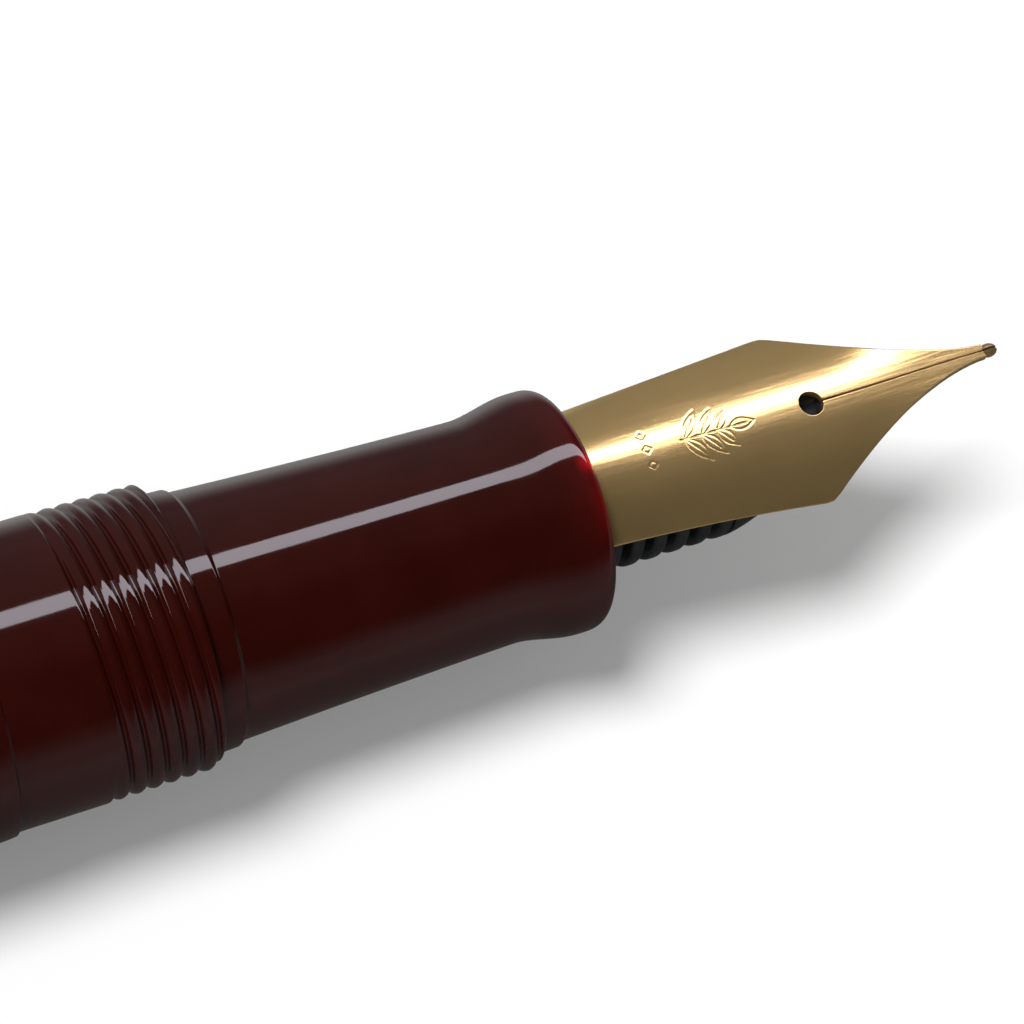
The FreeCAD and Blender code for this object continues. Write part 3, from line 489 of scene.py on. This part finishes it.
def make_tipping():
    """Hard pellet at the writing tip, in two halves parted by the slit."""
    start = NIB_TINE_END - NIB_X - PELLET_OVERLAP
    centre_z = float(nib_ridge(np.array(19.3))) - NIB_SHEET / 2 - 0.02
    verts, faces = [], []
    for side in (1, -1):
        base = len(verts)
        rows = np.linspace(-0.985, 0.985, 19)
        cols = 17
        for t in rows:
            ring = PELLET_R * math.sqrt(1 - t * t)
            limit = math.acos(min(1.0, (SLIT / 2) / ring))
            for v in np.linspace(-limit, limit, cols):
                verts.append((NIB_X + start + PELLET_LENGTH / 2 * (1 + t), side * ring * math.cos(v),
                              centre_z + PELLET_FLATNESS * ring * math.sin(v)))
        faces += tube_faces(len(rows), cols, base)
    return make_piece("nib_tipping_pellet", verts, faces, 50)


# ---------------------------------------------------------------- feed
FEED_R = 3.10
FEED_SEAT_R = 3.44
FEED_SEAT_FRONT = 21.5
FEED_COLLAR_R = 3.92
FEED_COLLAR_FRONT = 23.45
FEED_SEAT_REAR = 13.8
FEED_TIP = 12.4
FEED_FULL = 6.7
FEED_STEM_R = 1.40
FEED_STEM_END = 3.2
FIN_PITCH = 1.05
FIN_COUNT = 6
FIN_FIRST = 0.55
FIN_GAP = 0.34                      # share of the pitch that is gap
FIN_GAP_DEPTH = 0.85
FIN_CROWN = 0.16                    # how far a fin's edge is rounded down
FIN_MIDDLE = 0.67
WELL_DEPTH = 0.9
WELL_EDGE = 12                      # mesh columns from the middle line to beside the ink well


def fin_depth(x):
    """Depth of the comb's gaps along the feed: rounded fins with narrow gaps between them."""
    along = (x - FIN_FIRST) / FIN_PITCH
    if along < 0 or along > FIN_COUNT:
        return 0.0
    q = along - math.floor(along)
    if q < FIN_GAP:
        return FIN_GAP_DEPTH * min(1.0, math.sin(math.pi * q / FIN_GAP) * 2.2)
    crown = (q - FIN_MIDDLE) / 0.33
    return FIN_CROWN * crown ** 4


def under_nib_radius(x, turn):
    """Distance from the axis to just under the nib, in the direction turn, at a place along the nib."""
    sheet = 1 / float(nib_curvature(np.array(x)))
    centre = float(nib_ridge(np.array(x))) - sheet
    inner = sheet - NIB_SHEET - 0.03
    return centre * np.cos(turn) + np.sqrt(np.clip(inner ** 2 - (centre * np.sin(turn)) ** 2, 0, None))


def make_feed():
    """Comb feed: rounded fins below, a bed that follows the nib above, a collar in the lip and a stem."""
    full = [(FEED_STEM_END, FEED_STEM_R - 0.1), (FEED_STEM_END + 0.1, FEED_STEM_R),
            (FEED_SEAT_REAR, FEED_STEM_R), (FEED_SEAT_REAR, FEED_SEAT_R), (FEED_SEAT_FRONT, FEED_SEAT_R)]
    full += [(x, FEED_COLLAR_R) for x in np.linspace(FEED_SEAT_FRONT + 0.05, FEED_COLLAR_FRONT - 0.08, 12)]
    full += [(FEED_COLLAR_FRONT, FEED_COLLAR_R - 0.08)]
    stations = np.concatenate([np.arange(FEED_COLLAR_FRONT + 0.01 - NIB_X, FEED_FULL + 0.3, 0.035),
                               np.linspace(FEED_FULL + 0.35, FEED_TIP, 24)])
    around = 144
    turn = np.linspace(-math.pi, math.pi, around, endpoint=False)
    under_nib = 1 - smooth((np.abs(turn) - math.radians(46)) / math.radians(6))
    rows = []
    for x, r in full:
        limit = np.where(np.abs(turn) < math.radians(54), under_nib_radius(x - NIB_X, turn), FAR)
        rows.append((x, np.minimum(r, limit)))
    for s in stations:
        past_full = max(0.0, (s - FEED_FULL) / (FEED_TIP - FEED_FULL))
        taper = math.sqrt(max(0.0, 1 - past_full ** 1.6))
        radius = FEED_R * np.ones(around) - fin_depth(s) * (1 - under_nib)
        bed = np.maximum(FEED_R, under_nib_radius(s, turn)) * smooth((FEED_FULL - s) / 2.0)
        radius = np.maximum(radius, bed * under_nib)
        well = smooth((0.85 - abs(s - BREATHER_X)) / 0.25) * smooth((0.42 - np.abs(turn)) / 0.14)
        radius = radius - WELL_DEPTH * well
        lift = 1 - 0.62 * (1 - taper) * smooth((np.abs(turn) - 0.8) / 1.2)
        rows.append((NIB_X + s, radius * (0.12 + 0.88 * taper) * lift))
    verts = []
    for x, radius in rows:
        shift = 0.0
        if x > NIB_X + FEED_FULL:
            top = float(radius[around // 2 + WELL_EDGE])
            shift = float(nib_ridge(np.array(x - NIB_X))) - NIB_SHEET - 0.06 - top
            shift *= float(smooth((x - NIB_X - FEED_FULL) / 1.5))
        verts += [(x, r * math.sin(a), r * math.cos(a) + shift) for r, a in zip(radius, turn)]
    return make_piece("feed_comb", verts, tube_faces(len(rows), around), 40)


# ---------------------------------------------------------------- cap, bands, clip and finial
CAP_MOUTH_R = 7.10
CAP_WIDEST_R = 7.25
CAP_WIDEST_DEPTH = 15.0
CAP_TOP_R = 6.72
CAP_DEPTH = CAP_MOUTH_X - CAP_TOP_X
CAP_MOUTH_BORE_R = 6.02
CAP_THREAD_R = 5.95
CAP_INNER_R = 5.6
CAP_TOP_WALL = 1.5
STUD_HOLE_R = 1.55
STUD_R = 1.5
BAND_SEAT_R = 6.75
CLIP_BALL_DEPTH = 14.0
CLIP_BALL_R = 1.55
ARM_ROWS = 60                       # mesh rows from the clip's root to its ball


def cap_radius(depth):
    """Outer radius of the cap at a depth behind its mouth."""
    if depth < CAP_WIDEST_DEPTH:
        return CAP_WIDEST_R - (CAP_WIDEST_R - CAP_MOUTH_R) * (1 - depth / CAP_WIDEST_DEPTH) ** 2
    along = (depth - CAP_WIDEST_DEPTH) / (CAP_DEPTH - CAP_WIDEST_DEPTH)
    return CAP_WIDEST_R - (CAP_WIDEST_R - CAP_TOP_R) * along ** 2


def cap_inner_thread(x, r, turn):
    """Ridges inside the mouth that take the barrel's thread."""
    depth = CAP_MOUTH_X - x
    q = helix_phase(x, turn, THREAD_PITCH, THREAD_STARTS)
    ridge = np.clip(1 - np.abs(q) / 0.24, 0, 1)
    on_thread = (r > 5.9) & (r < 6.0)
    fade = smooth((depth - 4.05) / 0.2) * smooth((7.2 - depth) / 0.2)
    return np.where(on_thread, -0.35 * fade * smooth(ridge * 1.6), 0)


def make_cap():
    """Cap sleeve with the seats of its bands, its bore and its inner thread."""
    def c(depth):
        return CAP_MOUTH_X - depth

    band_low, band_high = span("cap_band")
    ring_low, ring_high = span("cap_trim_ring")
    side = [(c(d), cap_radius(d)) for d in np.linspace(CAP_MOUTH_X - ring_low[0] + 0.05, CAP_DEPTH - 0.2, 40)]
    thread = [(c(d), CAP_THREAD_R) for d in np.arange(7.4, 3.9, -0.045)]
    outline = rounded([
        (c(0), CAP_MOUTH_BORE_R, 0.12), (c(0), CAP_MOUTH_R, 0.34), (band_high[0], cap_radius(1.6), 0.04),
        (band_high[0], BAND_SEAT_R), (band_low[0], BAND_SEAT_R), (band_low[0], cap_radius(6.2), 0.04),
        (ring_high[0], cap_radius(7.4), 0.04), (ring_high[0], BAND_SEAT_R), (ring_low[0], BAND_SEAT_R),
        (ring_low[0], cap_radius(8.2), 0.04), side, (CAP_TOP_X, CAP_TOP_R, 0.1), (CAP_TOP_X, STUD_HOLE_R),
        (CAP_TOP_X + CAP_TOP_WALL, STUD_HOLE_R), (CAP_TOP_X + CAP_TOP_WALL, CAP_INNER_R),
        (c(9.0), CAP_INNER_R), (c(8.6), CAP_THREAD_R), thread, (c(3.9), CAP_MOUTH_BORE_R)])
    return lathe("cap_sleeve", outline, 300, cap_inner_thread, 50)


def make_ring(name, node, inner_r, crown):
    """Trim ring: softly crowned outside, seated in its groove."""
    low, high = span(node)
    outer = high[1]
    middle, half = (low[0] + high[0]) / 2, (high[0] - low[0]) / 2
    face = [(middle + half * (1 - 0.02) * t, outer - crown * abs(t) ** 3) for t in np.linspace(1, -1, 15)]
    outline = rounded([(high[0], inner_r, 0.03), (high[0], outer - crown - 0.05, 0.03), face,
                       (low[0], outer - crown - 0.05, 0.03), (low[0], inner_r, 0.03)], 3)
    return lathe(name, outline, 300, None, 40)


def make_finial():
    """Domed end of the cap, bored for its stud."""
    low, high = span("finial")
    foot, top, radius = high[0], low[0], high[1]
    stud_end = span("finial_stud")[0][0]
    dome_foot = foot - 1.2
    dome = [(dome_foot + (top - dome_foot) * math.sin(a), radius * math.cos(a))
            for a in np.linspace(0, math.pi / 2, 40)]
    dome[-1] = (top, 0.0)
    outline = rounded([(stud_end, 0.0), (stud_end, STUD_R), (foot, STUD_R, 0.05), (foot, radius, 0.16), dome])
    return lathe("finial_dome", outline, 260, None, 45)


def softened(values, reach=4):
    """Running mean that keeps the two ends."""
    padded = np.concatenate([np.full(reach, values[0]), values, np.full(reach, values[-1])])
    return np.convolve(padded, np.ones(2 * reach + 1) / (2 * reach + 1), "valid")


def make_clip():
    """Tapering arm with a crowned face, rising from its lug and ending in a ball."""
    root_x = span("clip")[0][0]
    ball_x = CAP_MOUTH_X - CLIP_BALL_DEPTH
    ball_z = cap_radius(CLIP_BALL_DEPTH) + 0.03 + CLIP_BALL_R
    end_x = ball_x + CLIP_BALL_R
    cosine = (1 - np.cos(np.linspace(0, math.pi, 40))) / 2
    xs = np.concatenate([np.linspace(root_x, ball_x - CLIP_BALL_R - 1.2, ARM_ROWS),
                         ball_x - CLIP_BALL_R - 1.2 + cosine[1:] * (2 * CLIP_BALL_R + 1.2)])
    depth = CAP_MOUTH_X - xs
    stations = [CLIP_BALL_DEPTH - 2, CLIP_BALL_DEPTH, 27.0, 39.0, 47.0, 51.0]
    bottom = np.interp(depth, stations, [ball_z - 0.45, ball_z - 0.45, 8.40, 8.35, 7.75, 7.0])
    width = np.interp(depth, stations, [1.1, 1.1, 1.45, 1.8, 1.95, 1.98])
    thick = np.interp(depth, stations, [0.95, 0.95, 1.05, 1.1, 1.2, 1.25])
    for profile in (bottom, width, thick):
        profile[:ARM_ROWS] = softened(profile[:ARM_ROWS])
    ball = np.sqrt(np.clip(CLIP_BALL_R ** 2 - (xs - ball_x) ** 2, 0, None))
    arm = smooth((ball_x + 0.6 - xs) / 1.2)
    half = np.maximum(width * arm, ball)
    mid = bottom + thick / 2
    centre = np.where(ball > 0, ball_z + (mid - ball_z) * smooth((thick / 2 - ball) / 0.5 + 0.5), mid)
    up = np.maximum(thick / 2 * arm, ball)
    roundness = np.clip(ball / (thick / 2), 0, 1)
    around = 48
    angles = np.linspace(0, 2 * math.pi, around, endpoint=False)
    verts = []
    for x, h, u, z, k in zip(xs, half, up, centre, roundness):
        power_top = 0.75 + 0.25 * k
        power_low = 0.28 + 0.72 * k
        for a in angles:
            ca, sa = math.cos(a), math.sin(a)
            power = power_top if sa > 0 else power_low
            verts.append((x, h * math.copysign(abs(ca) ** (0.6 + 0.4 * k), ca),
                          z + u * math.copysign(abs(sa) ** power, sa)))
    return make_piece("clip_arm", verts, tube_faces(len(xs), around), 45)


# ---------------------------------------------------------------- materials
class Tree:
    """Small helper for building a node tree."""

    def __init__(self, tree):
        self.tree = tree

    def add(self, kind, **settings):
        node = self.tree.nodes.new(kind)
        for key, value in settings.items():
            if key in node.inputs.keys():
                node.inputs[key].default_value = value
            else:
                setattr(node, key, value)
        return node

    def link(self, source, target):
        self.tree.links.new(source, target)

    def spread(self, value, low, high, to_low, to_high):
        node = self.add("ShaderNodeMapRange")
        for key, number in (("From Min", low), ("From Max", high), ("To Min", to_low), ("To Max", to_high)):
            node.inputs[key].default_value = number
        self.link(value, node.inputs["Value"])
        return node.outputs["Result"]

    def mix(self, factor, a, b):
        node = self.add("ShaderNodeMix", data_type="RGBA")
        self.link(factor, node.inputs["Factor"])
        node.inputs[6].default_value = a
        node.inputs[7].default_value = b
        return node.outputs[2]

    def math(self, operation, a, b=None):
        node = self.add("ShaderNodeMath", operation=operation)
        for slot, value in enumerate((a, b)):
            if value is None:
                continue
            if isinstance(value, (int, float)):
                node.inputs[slot].default_value = value
            else:
                self.link(value, node.inputs[slot])
        return node.outputs[0]


class Nodes(Tree):
    """A new material with its node tree."""

    def __init__(self, name):
        self.material = bpy.data.materials.new(name)
        self.material.use_nodes = True
        super().__init__(self.material.node_tree)
        self.shader = self.tree.nodes["Principled BSDF"]

    def set(self, **values):
        for key, value in values.items():
            self.shader.inputs[key.replace("_", " ")].default_value = value

    def place(self):
        return self.add("ShaderNodeTexCoord").outputs["Object"]

    def noise(self, scale, detail=4.0, stretch=(1, 1, 1)):
        mapping = self.add("ShaderNodeMapping")
        mapping.inputs["Scale"].default_value = stretch
        self.link(self.place(), mapping.inputs["Vector"])
        noise = self.add("ShaderNodeTexNoise", Scale=scale, Detail=detail)
        self.link(mapping.outputs["Vector"], noise.inputs["Vector"])
        return noise.outputs["Fac"]

    def bump(self, height, distance, strength=1.0):
        node = self.add("ShaderNodeBump", Distance=distance, Strength=strength)
        self.link(height, node.inputs["Height"])
        self.link(node.outputs["Normal"], self.shader.inputs["Normal"])

    def bell(self, turn, middle, spread):
        """Soft bump in an angle given in radians; middle and spread are degrees."""
        away = self.math("MULTIPLY", self.math("ADD", turn, -math.radians(middle)), 1 / math.radians(spread))
        return self.math("EXPONENT", self.math("MULTIPLY", self.math("MULTIPLY", away, away), -1.0))


RESIN_DARK = (0.0185, 0.0019, 0.0011, 1)
RESIN_LIGHT = (0.023, 0.0026, 0.0016, 1)
# colour of the painted red light at the lip's front edge (emission, not a lamp)
PAINTED_GLOW_COLOUR = (1.0, 0.012, 0.03, 1)


def resin(name, painted_glow=False):
    """Polished dark maroon resin. On request the lip's thin front edge gets painted red light: emission
    standing in for light shining through the thin resin.
    """
    n = Nodes(name)
    colour = n.mix(n.spread(n.noise(350.0), 0.35, 0.65, 0, 1), RESIN_DARK, RESIN_LIGHT)
    n.link(colour, n.shader.inputs["Base Color"])
    n.set(IOR=1.49)
    n.link(n.spread(n.noise(2600.0, 6.0, (0.15, 1, 1)), 0.3, 0.75, 0.045, 0.085),
           n.shader.inputs["Roughness"])
    n.bump(n.noise(900.0, 3.0), 0.000004, 0.5)
    if painted_glow:
        # painted light: red emission near the lip's front edge, a bright patch just below the highlight, a
        # fainter patch lower down and a faint broad band round the lip, standing in for light shining through
        # the resin
        split = n.add("ShaderNodeSeparateXYZ")
        n.link(n.place(), split.inputs[0])
        x = n.math("MULTIPLY", split.outputs["X"], 1 / MM)
        rim = n.spread(x, LIP_FACE_X - 1.0, LIP_FACE_X - 0.25, 0, 1)
        rim = n.math("POWER", n.math("MAXIMUM", rim, 0.0), 1.6)
        lip = n.math("MAXIMUM", n.spread(x, LIP_CREST_X - 0.9, LIP_FACE_X - 0.3, 0, 1), 0.0)
        turn = n.math("ARCTAN2", split.outputs["Y"], split.outputs["Z"])
        painted_glow_spot = n.math("MULTIPLY", n.bell(turn, -2.5, 4), 0.45)
        painted_glow_spot = n.math("MULTIPLY", n.math("ADD", painted_glow_spot, n.math("MULTIPLY", n.bell(turn, -22, 14), 0.05)), rim)
        painted_glow_band = n.math("MULTIPLY", n.math("MULTIPLY", n.bell(turn, 6, 48), 0.032), lip)
        n.link(n.math("ADD", painted_glow_spot, painted_glow_band), n.shader.inputs["Emission Strength"])
        n.set(Emission_Color=PAINTED_GLOW_COLOUR)
    return n.material


def gold(name, colour, roughness, brushed=0.0, metallic=1.0):
    """Polished gold alloy: fine lengthwise brushing, slightly uneven sheen."""
    n = Nodes(name)
    deep = tuple(c * 0.9 for c in colour[:3]) + (1,)
    n.link(n.mix(n.spread(n.noise(240.0), 0.3, 0.7, 0, 1), deep, colour), n.shader.inputs["Base Color"])
    n.set(Metallic=metallic, Coat_Weight=0.35, Coat_Roughness=roughness, Coat_IOR=1.6)
    n.link(n.spread(n.noise(1500.0, 5.0, (0.1, 1, 1)), 0.25, 0.75, roughness * 0.85, roughness * 1.2),
           n.shader.inputs["Roughness"])
    n.bump(n.noise(5200.0, 3.0, (0.06, 1, 1)), 0.000002 + 0.00001 * brushed, 0.6)
    return n.material


def plastic(name, dark, light, roughness, grain=9000.0):
    """Moulded plastic with a fine sparked grain."""
    n = Nodes(name)
    n.link(n.mix(n.spread(n.noise(500.0), 0.35, 0.65, 0, 1), dark, light), n.shader.inputs["Base Color"])
    n.link(n.spread(n.noise(1200.0), 0.3, 0.7, roughness * 0.8, roughness * 1.25),
           n.shader.inputs["Roughness"])
    n.bump(n.noise(grain, 4.0), 0.00001, 0.5)
    return n.material


def clear_plastic(name):
    """Clear moulded plastic, slightly uneven."""
    n = Nodes(name)
    n.set(IOR=1.49, Transmission_Weight=1.0)
    n.link(n.mix(n.spread(n.noise(180.0), 0.3, 0.7, 0, 1), (0.93, 0.95, 0.96, 1), (0.97, 0.98, 0.98, 1)),
           n.shader.inputs["Base Color"])
    n.link(n.spread(n.noise(900.0, 4.0, (0.1, 1, 1)), 0.3, 0.7, 0.03, 0.09), n.shader.inputs["Roughness"])
    return n.material


def metal(name, colour, roughness):
    """Turned or plated metal with fine marks round the axis."""
    n = Nodes(name)
    n.set(Metallic=1.0)
    worn = tuple(c * 0.8 for c in colour[:3]) + (1,)
    n.link(n.mix(n.spread(n.noise(600.0), 0.35, 0.7, 0, 1), colour, worn), n.shader.inputs["Base Color"])
    n.link(n.spread(n.noise(3000.0, 4.0, (1, 0.15, 0.15)), 0.3, 0.7, roughness * 0.7, roughness * 1.3),
           n.shader.inputs["Roughness"])
    n.bump(n.noise(6000.0, 3.0, (1, 0.08, 0.08)), 0.000004, 0.5)
    return n.material


def paint(thing, material):
    """Give a piece this material and no other."""
    thing.data.materials.clear()
    thing.data.materials.append(material)


# ---------------------------------------------------------------- putting the pieces on the frame
def put(piece, body, nodes, material):
    """Paint a piece, fix it to its body and let it stand in for its CAD nodes."""
    paint(piece, material)
    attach(piece, body)
    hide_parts(*nodes)


nib_gold = gold("nib_gold", (0.895, 0.61, 0.25, 1), 0.22, 0.8, 0.9)
plate_gold = gold("gold_plate", (0.92, 0.66, 0.34, 1), 0.14)
body_resin = resin("resin")
# the grip's resin carries the painted red light at the lip
grip_resin = resin("resin_grip", painted_glow=True)
feed_plastic = plastic("feed_plastic", (0.006, 0.007, 0.008, 1), (0.012, 0.014, 0.016, 1), 0.32)
pellet_metal = gold("tipping", (0.42, 0.27, 0.12, 1), 0.35, 0.0, 0.8)

put(make_barrel(), "barrel", ["barrel"], body_resin)
put(make_section(), "front_unit", ["section"], grip_resin)
put(make_nib(), "front_unit", ["nib"], nib_gold)
put(make_tipping(), "front_unit", ["nib_tipping"], pellet_metal)
put(make_feed(), "front_unit", ["feed"], feed_plastic)
put(make_cap(), "cap", ["cap_shell"], body_resin)
for ring, node, crown in (("cap_band_ring", "cap_band", 0.05), ("cap_thin_ring", "cap_trim_ring", 0.08)):
    put(make_ring(ring, node, BAND_SEAT_R, crown), "cap", [node], plate_gold)
put(make_finial(), "cap", ["finial"], body_resin)
put(make_clip(), "clip", ["clip"], plate_gold)

black_plastic = plastic("converter_black", (0.010, 0.010, 0.011, 1), (0.020, 0.020, 0.021, 1), 0.28)
CARRIED = {
    "nib_housing": feed_plastic,
    "converter_socket": black_plastic,
    "converter_guide": black_plastic,
    "converter_knob": black_plastic,
    "piston_rod": black_plastic,
    "piston_seal": plastic("seal_rubber", (0.015, 0.015, 0.015, 1), (0.028, 0.027, 0.026, 1), 0.55),
    "converter_tube": clear_plastic("clear_plastic"),
    "converter_band": metal("plated_steel", (0.78, 0.78, 0.79, 1), 0.12),
    "converter_spindle": metal("spindle_steel", (0.62, 0.62, 0.63, 1), 0.24),
    "cap_liner": plastic("liner_plastic", (0.014, 0.014, 0.015, 1), (0.024, 0.024, 0.025, 1), 0.45),
    "cap_nut": metal("turned_brass", (0.76, 0.57, 0.27, 1), 0.22),
    "finial_stud": metal("stud_brass", (0.76, 0.57, 0.27, 1), 0.25),
    "clip_ring": plate_gold,
}
for node, material in CARRIED.items():
    paint(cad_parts[node], material)


# ---------------------------------------------------------------- stage: floor, light and camera
FLOOR_Z = CAD_BOX[0].z
FLOOR_HALF = 6.0                    # metres
FLOOR_GREY = (0.62, 0.62, 0.62, 1)
FLOOR_GLOW = 0.145
TABLE_REACH = 0.06                  # metres to each side that PAINTED_TABLE_SEEN covers
STRIP_NEAR = Vector((4.66, 9.85, 28.9)) * MM
STRIP_FAR = Vector((32.4, 12.97, 26.8)) * MM
STRIP_WIDTH, STRIP_LENGTH = 0.0062, 0.24
STRIP_RADIANCE = 6.2
STRIP_COLOUR = (1.0, 0.965, 1.06)
SUN_DIRECTION = (-0.37, 0.165, 0.915)
SUN_STRENGTH = 3.8
SUN_DEGREES = 20
SKY_STRENGTH = 0.36
WHITE = (1, 1, 1, 1)
LENS_MM = 105.0
SENSOR_MM = 36.0
CAMERA_PLACE = Vector((NIB_X, 0, 0)) * MM + Vector((-42.11, -38.96, 109.77)) * MM
CAMERA_RIGHT = Vector((0.9047, -0.3782, 0.1958))
CAMERA_AHEAD = Vector((0.3262, 0.3196, -0.8897))

# What polished parts see of the room, by angle round the pen's axis from the nib's face, in degrees
ROOM_SEEN = ((-180, 0.20), (-92, 0.20), (-82, 0.09), (-72, 0.012), (-28, 0.012), (-8, 0.05), (18, 0.08),
             (40, 0.17), (60, 0.19), (85, 0.18), (100, 0.15), (180, 0.18))

# Painted light and shade that polished parts see of the table, by distance to the side of the pen in
# millimetres: brighter to one side, with a painted shadow darkest under the pen
PAINTED_TABLE_SEEN = ((-60, 0.20), (-28, 0.23), (-15, 0.14), (-6, 0.07), (0, 0.05), (6, 0.10), (10, 0.26), (13, 0.42),
              (18, 0.55), (26, 0.41), (38, 0.25), (50, 0.17), (60, 0.15))


def fill_ramp(ramp, stops, low, high):
    """Grey levels of a colour ramp from (place, value) pairs, with places between low and high."""
    while len(ramp.color_ramp.elements) < len(stops):
        ramp.color_ramp.elements.new(0.5)
    for element, (place, value) in zip(ramp.color_ramp.elements, stops):
        element.position = (place - low) / (high - low)
        element.color = (value, value, value, 1)


def make_floor():
    """Plain white table. Polished parts see it as a grey table of painted light and shade, with a painted
    shadow that darkens it under the pen.
    """
    corners = ((-1, -1), (1, -1), (1, 1), (-1, 1))
    mesh = bpy.data.meshes.new("floor")
    mesh.from_pydata([(x * FLOOR_HALF, y * FLOOR_HALF, FLOOR_Z) for x, y in corners], [], [(0, 1, 2, 3)])
    floor = bpy.data.objects.new("floor", mesh)
    bpy.context.scene.collection.objects.link(floor)
    n = Nodes("floor_white")
    n.set(Roughness=0.9, Base_Color=FLOOR_GREY, Emission_Color=WHITE, Emission_Strength=FLOOR_GLOW,
          Specular_IOR_Level=0.0)
    split = n.add("ShaderNodeSeparateXYZ")
    n.link(n.add("ShaderNodeNewGeometry").outputs["Position"], split.inputs[0])
    # painted reflection of the table with its painted shadow under the pen, seen only by glossy rays
    ramp = n.add("ShaderNodeValToRGB")
    fill_ramp(ramp, [(y * MM, value) for y, value in PAINTED_TABLE_SEEN], -TABLE_REACH, TABLE_REACH)
    n.link(n.spread(split.outputs["Y"], -TABLE_REACH, TABLE_REACH, 0, 1), ramp.inputs["Fac"])
    table = n.add("ShaderNodeEmission")
    n.link(ramp.outputs["Color"], table.inputs["Color"])
    path = n.add("ShaderNodeLightPath")
    pick = n.add("ShaderNodeMixShader")
    n.link(path.outputs["Is Glossy Ray"], pick.inputs[0])
    n.link(n.shader.outputs[0], pick.inputs[1])
    n.link(table.outputs[0], pick.inputs[2])
    n.link(pick.outputs[0], n.tree.nodes["Material Output"].inputs["Surface"])
    floor.data.materials.append(n.material)


def aim(thing, target):
    """Turn a light so that it shines at the target."""
    thing.rotation_mode = "QUATERNION"
    thing.rotation_quaternion = (target - thing.location).to_track_quat("-Z", "Y")


def make_strip_light():
    """Long softbox close above the pen that draws the narrow highlight. Only polished surfaces see it."""
    along = (STRIP_FAR - STRIP_NEAR).normalized()
    centre = STRIP_NEAR + along * -0.045
    over = STRIP_NEAR + along * 0.015
    facing = (Vector((over.x, 0, 0)) - over).normalized()
    across = facing.cross(along).normalized()
    facing = along.cross(across).normalized()
    data = bpy.data.lights.new("strip", "AREA")
    data.shape = "RECTANGLE"
    data.size, data.size_y = STRIP_LENGTH, STRIP_WIDTH
    data.color = STRIP_COLOUR
    data.energy = STRIP_RADIANCE * math.pi * STRIP_LENGTH * STRIP_WIDTH
    light = bpy.data.objects.new("strip", data)
    light.matrix_world = Matrix((along, across, -facing)).transposed().to_4x4()
    light.matrix_world.translation = centre
    bpy.context.scene.collection.objects.link(light)
    light.visible_diffuse = False
    light.visible_camera = False


def make_sun():
    """Key light that casts the soft shadow. Polished surfaces don't see it."""
    data = bpy.data.lights.new("key", "SUN")
    data.energy = SUN_STRENGTH
    data.angle = math.radians(SUN_DEGREES)
    light = bpy.data.objects.new("key", data)
    light.location = Vector(SUN_DIRECTION).normalized()
    aim(light, Vector((0, 0, 0)))
    bpy.context.scene.collection.objects.link(light)
    light.visible_glossy = False


def make_world():
    """Soft even light for the table, and a dim studio for what the polished parts reflect."""
    world = bpy.data.worlds.new("studio")
    bpy.context.scene.world = world
    world.use_nodes = True
    world.node_tree.nodes.clear()
    n = Tree(world.node_tree)
    out = n.add("ShaderNodeOutputWorld")
    soft = n.add("ShaderNodeBackground", Strength=SKY_STRENGTH, Color=WHITE)
    room = n.add("ShaderNodeBackground")
    split = n.add("ShaderNodeSeparateXYZ")
    n.link(n.add("ShaderNodeTexCoord").outputs["Generated"], split.inputs[0])
    turn = n.math("ARCTAN2", split.outputs["Y"], split.outputs["Z"])
    ramp = n.add("ShaderNodeValToRGB")
    fill_ramp(ramp, ROOM_SEEN, -180, 180)
    n.link(n.spread(turn, -math.pi, math.pi, 0, 1), ramp.inputs["Fac"])
    n.link(ramp.outputs["Color"], room.inputs["Color"])
    n.link(n.spread(split.outputs["X"], 0.5, 0.75, 1.0, 0.2), room.inputs["Strength"])
    pick = n.add("ShaderNodeMixShader")
    n.link(n.add("ShaderNodeLightPath").outputs["Is Glossy Ray"], pick.inputs[0])
    n.link(soft.outputs[0], pick.inputs[1])
    n.link(room.outputs[0], pick.inputs[2])
    n.link(pick.outputs[0], out.inputs["Surface"])


def make_camera():
    """Camera above the pen and to its right side, looking down at the section and nib."""
    data = bpy.data.cameras.new("camera")
    data.lens = LENS_MM
    data.sensor_width = SENSOR_MM
    data.clip_start, data.clip_end = 0.005, 20.0
    camera = bpy.data.objects.new("camera", data)
    back = -CAMERA_AHEAD
    up = back.cross(CAMERA_RIGHT).normalized()
    right = up.cross(back).normalized()
    turn = Matrix((right, up, back.normalized())).transposed().to_4x4()
    camera.matrix_world = Matrix.Translation(CAMERA_PLACE) @ turn
    bpy.context.scene.collection.objects.link(camera)
    bpy.context.scene.camera = camera


make_floor()
make_strip_light()
make_sun()
make_world()
make_camera()
bpy.context.scene.view_settings.view_transform = "Standard"
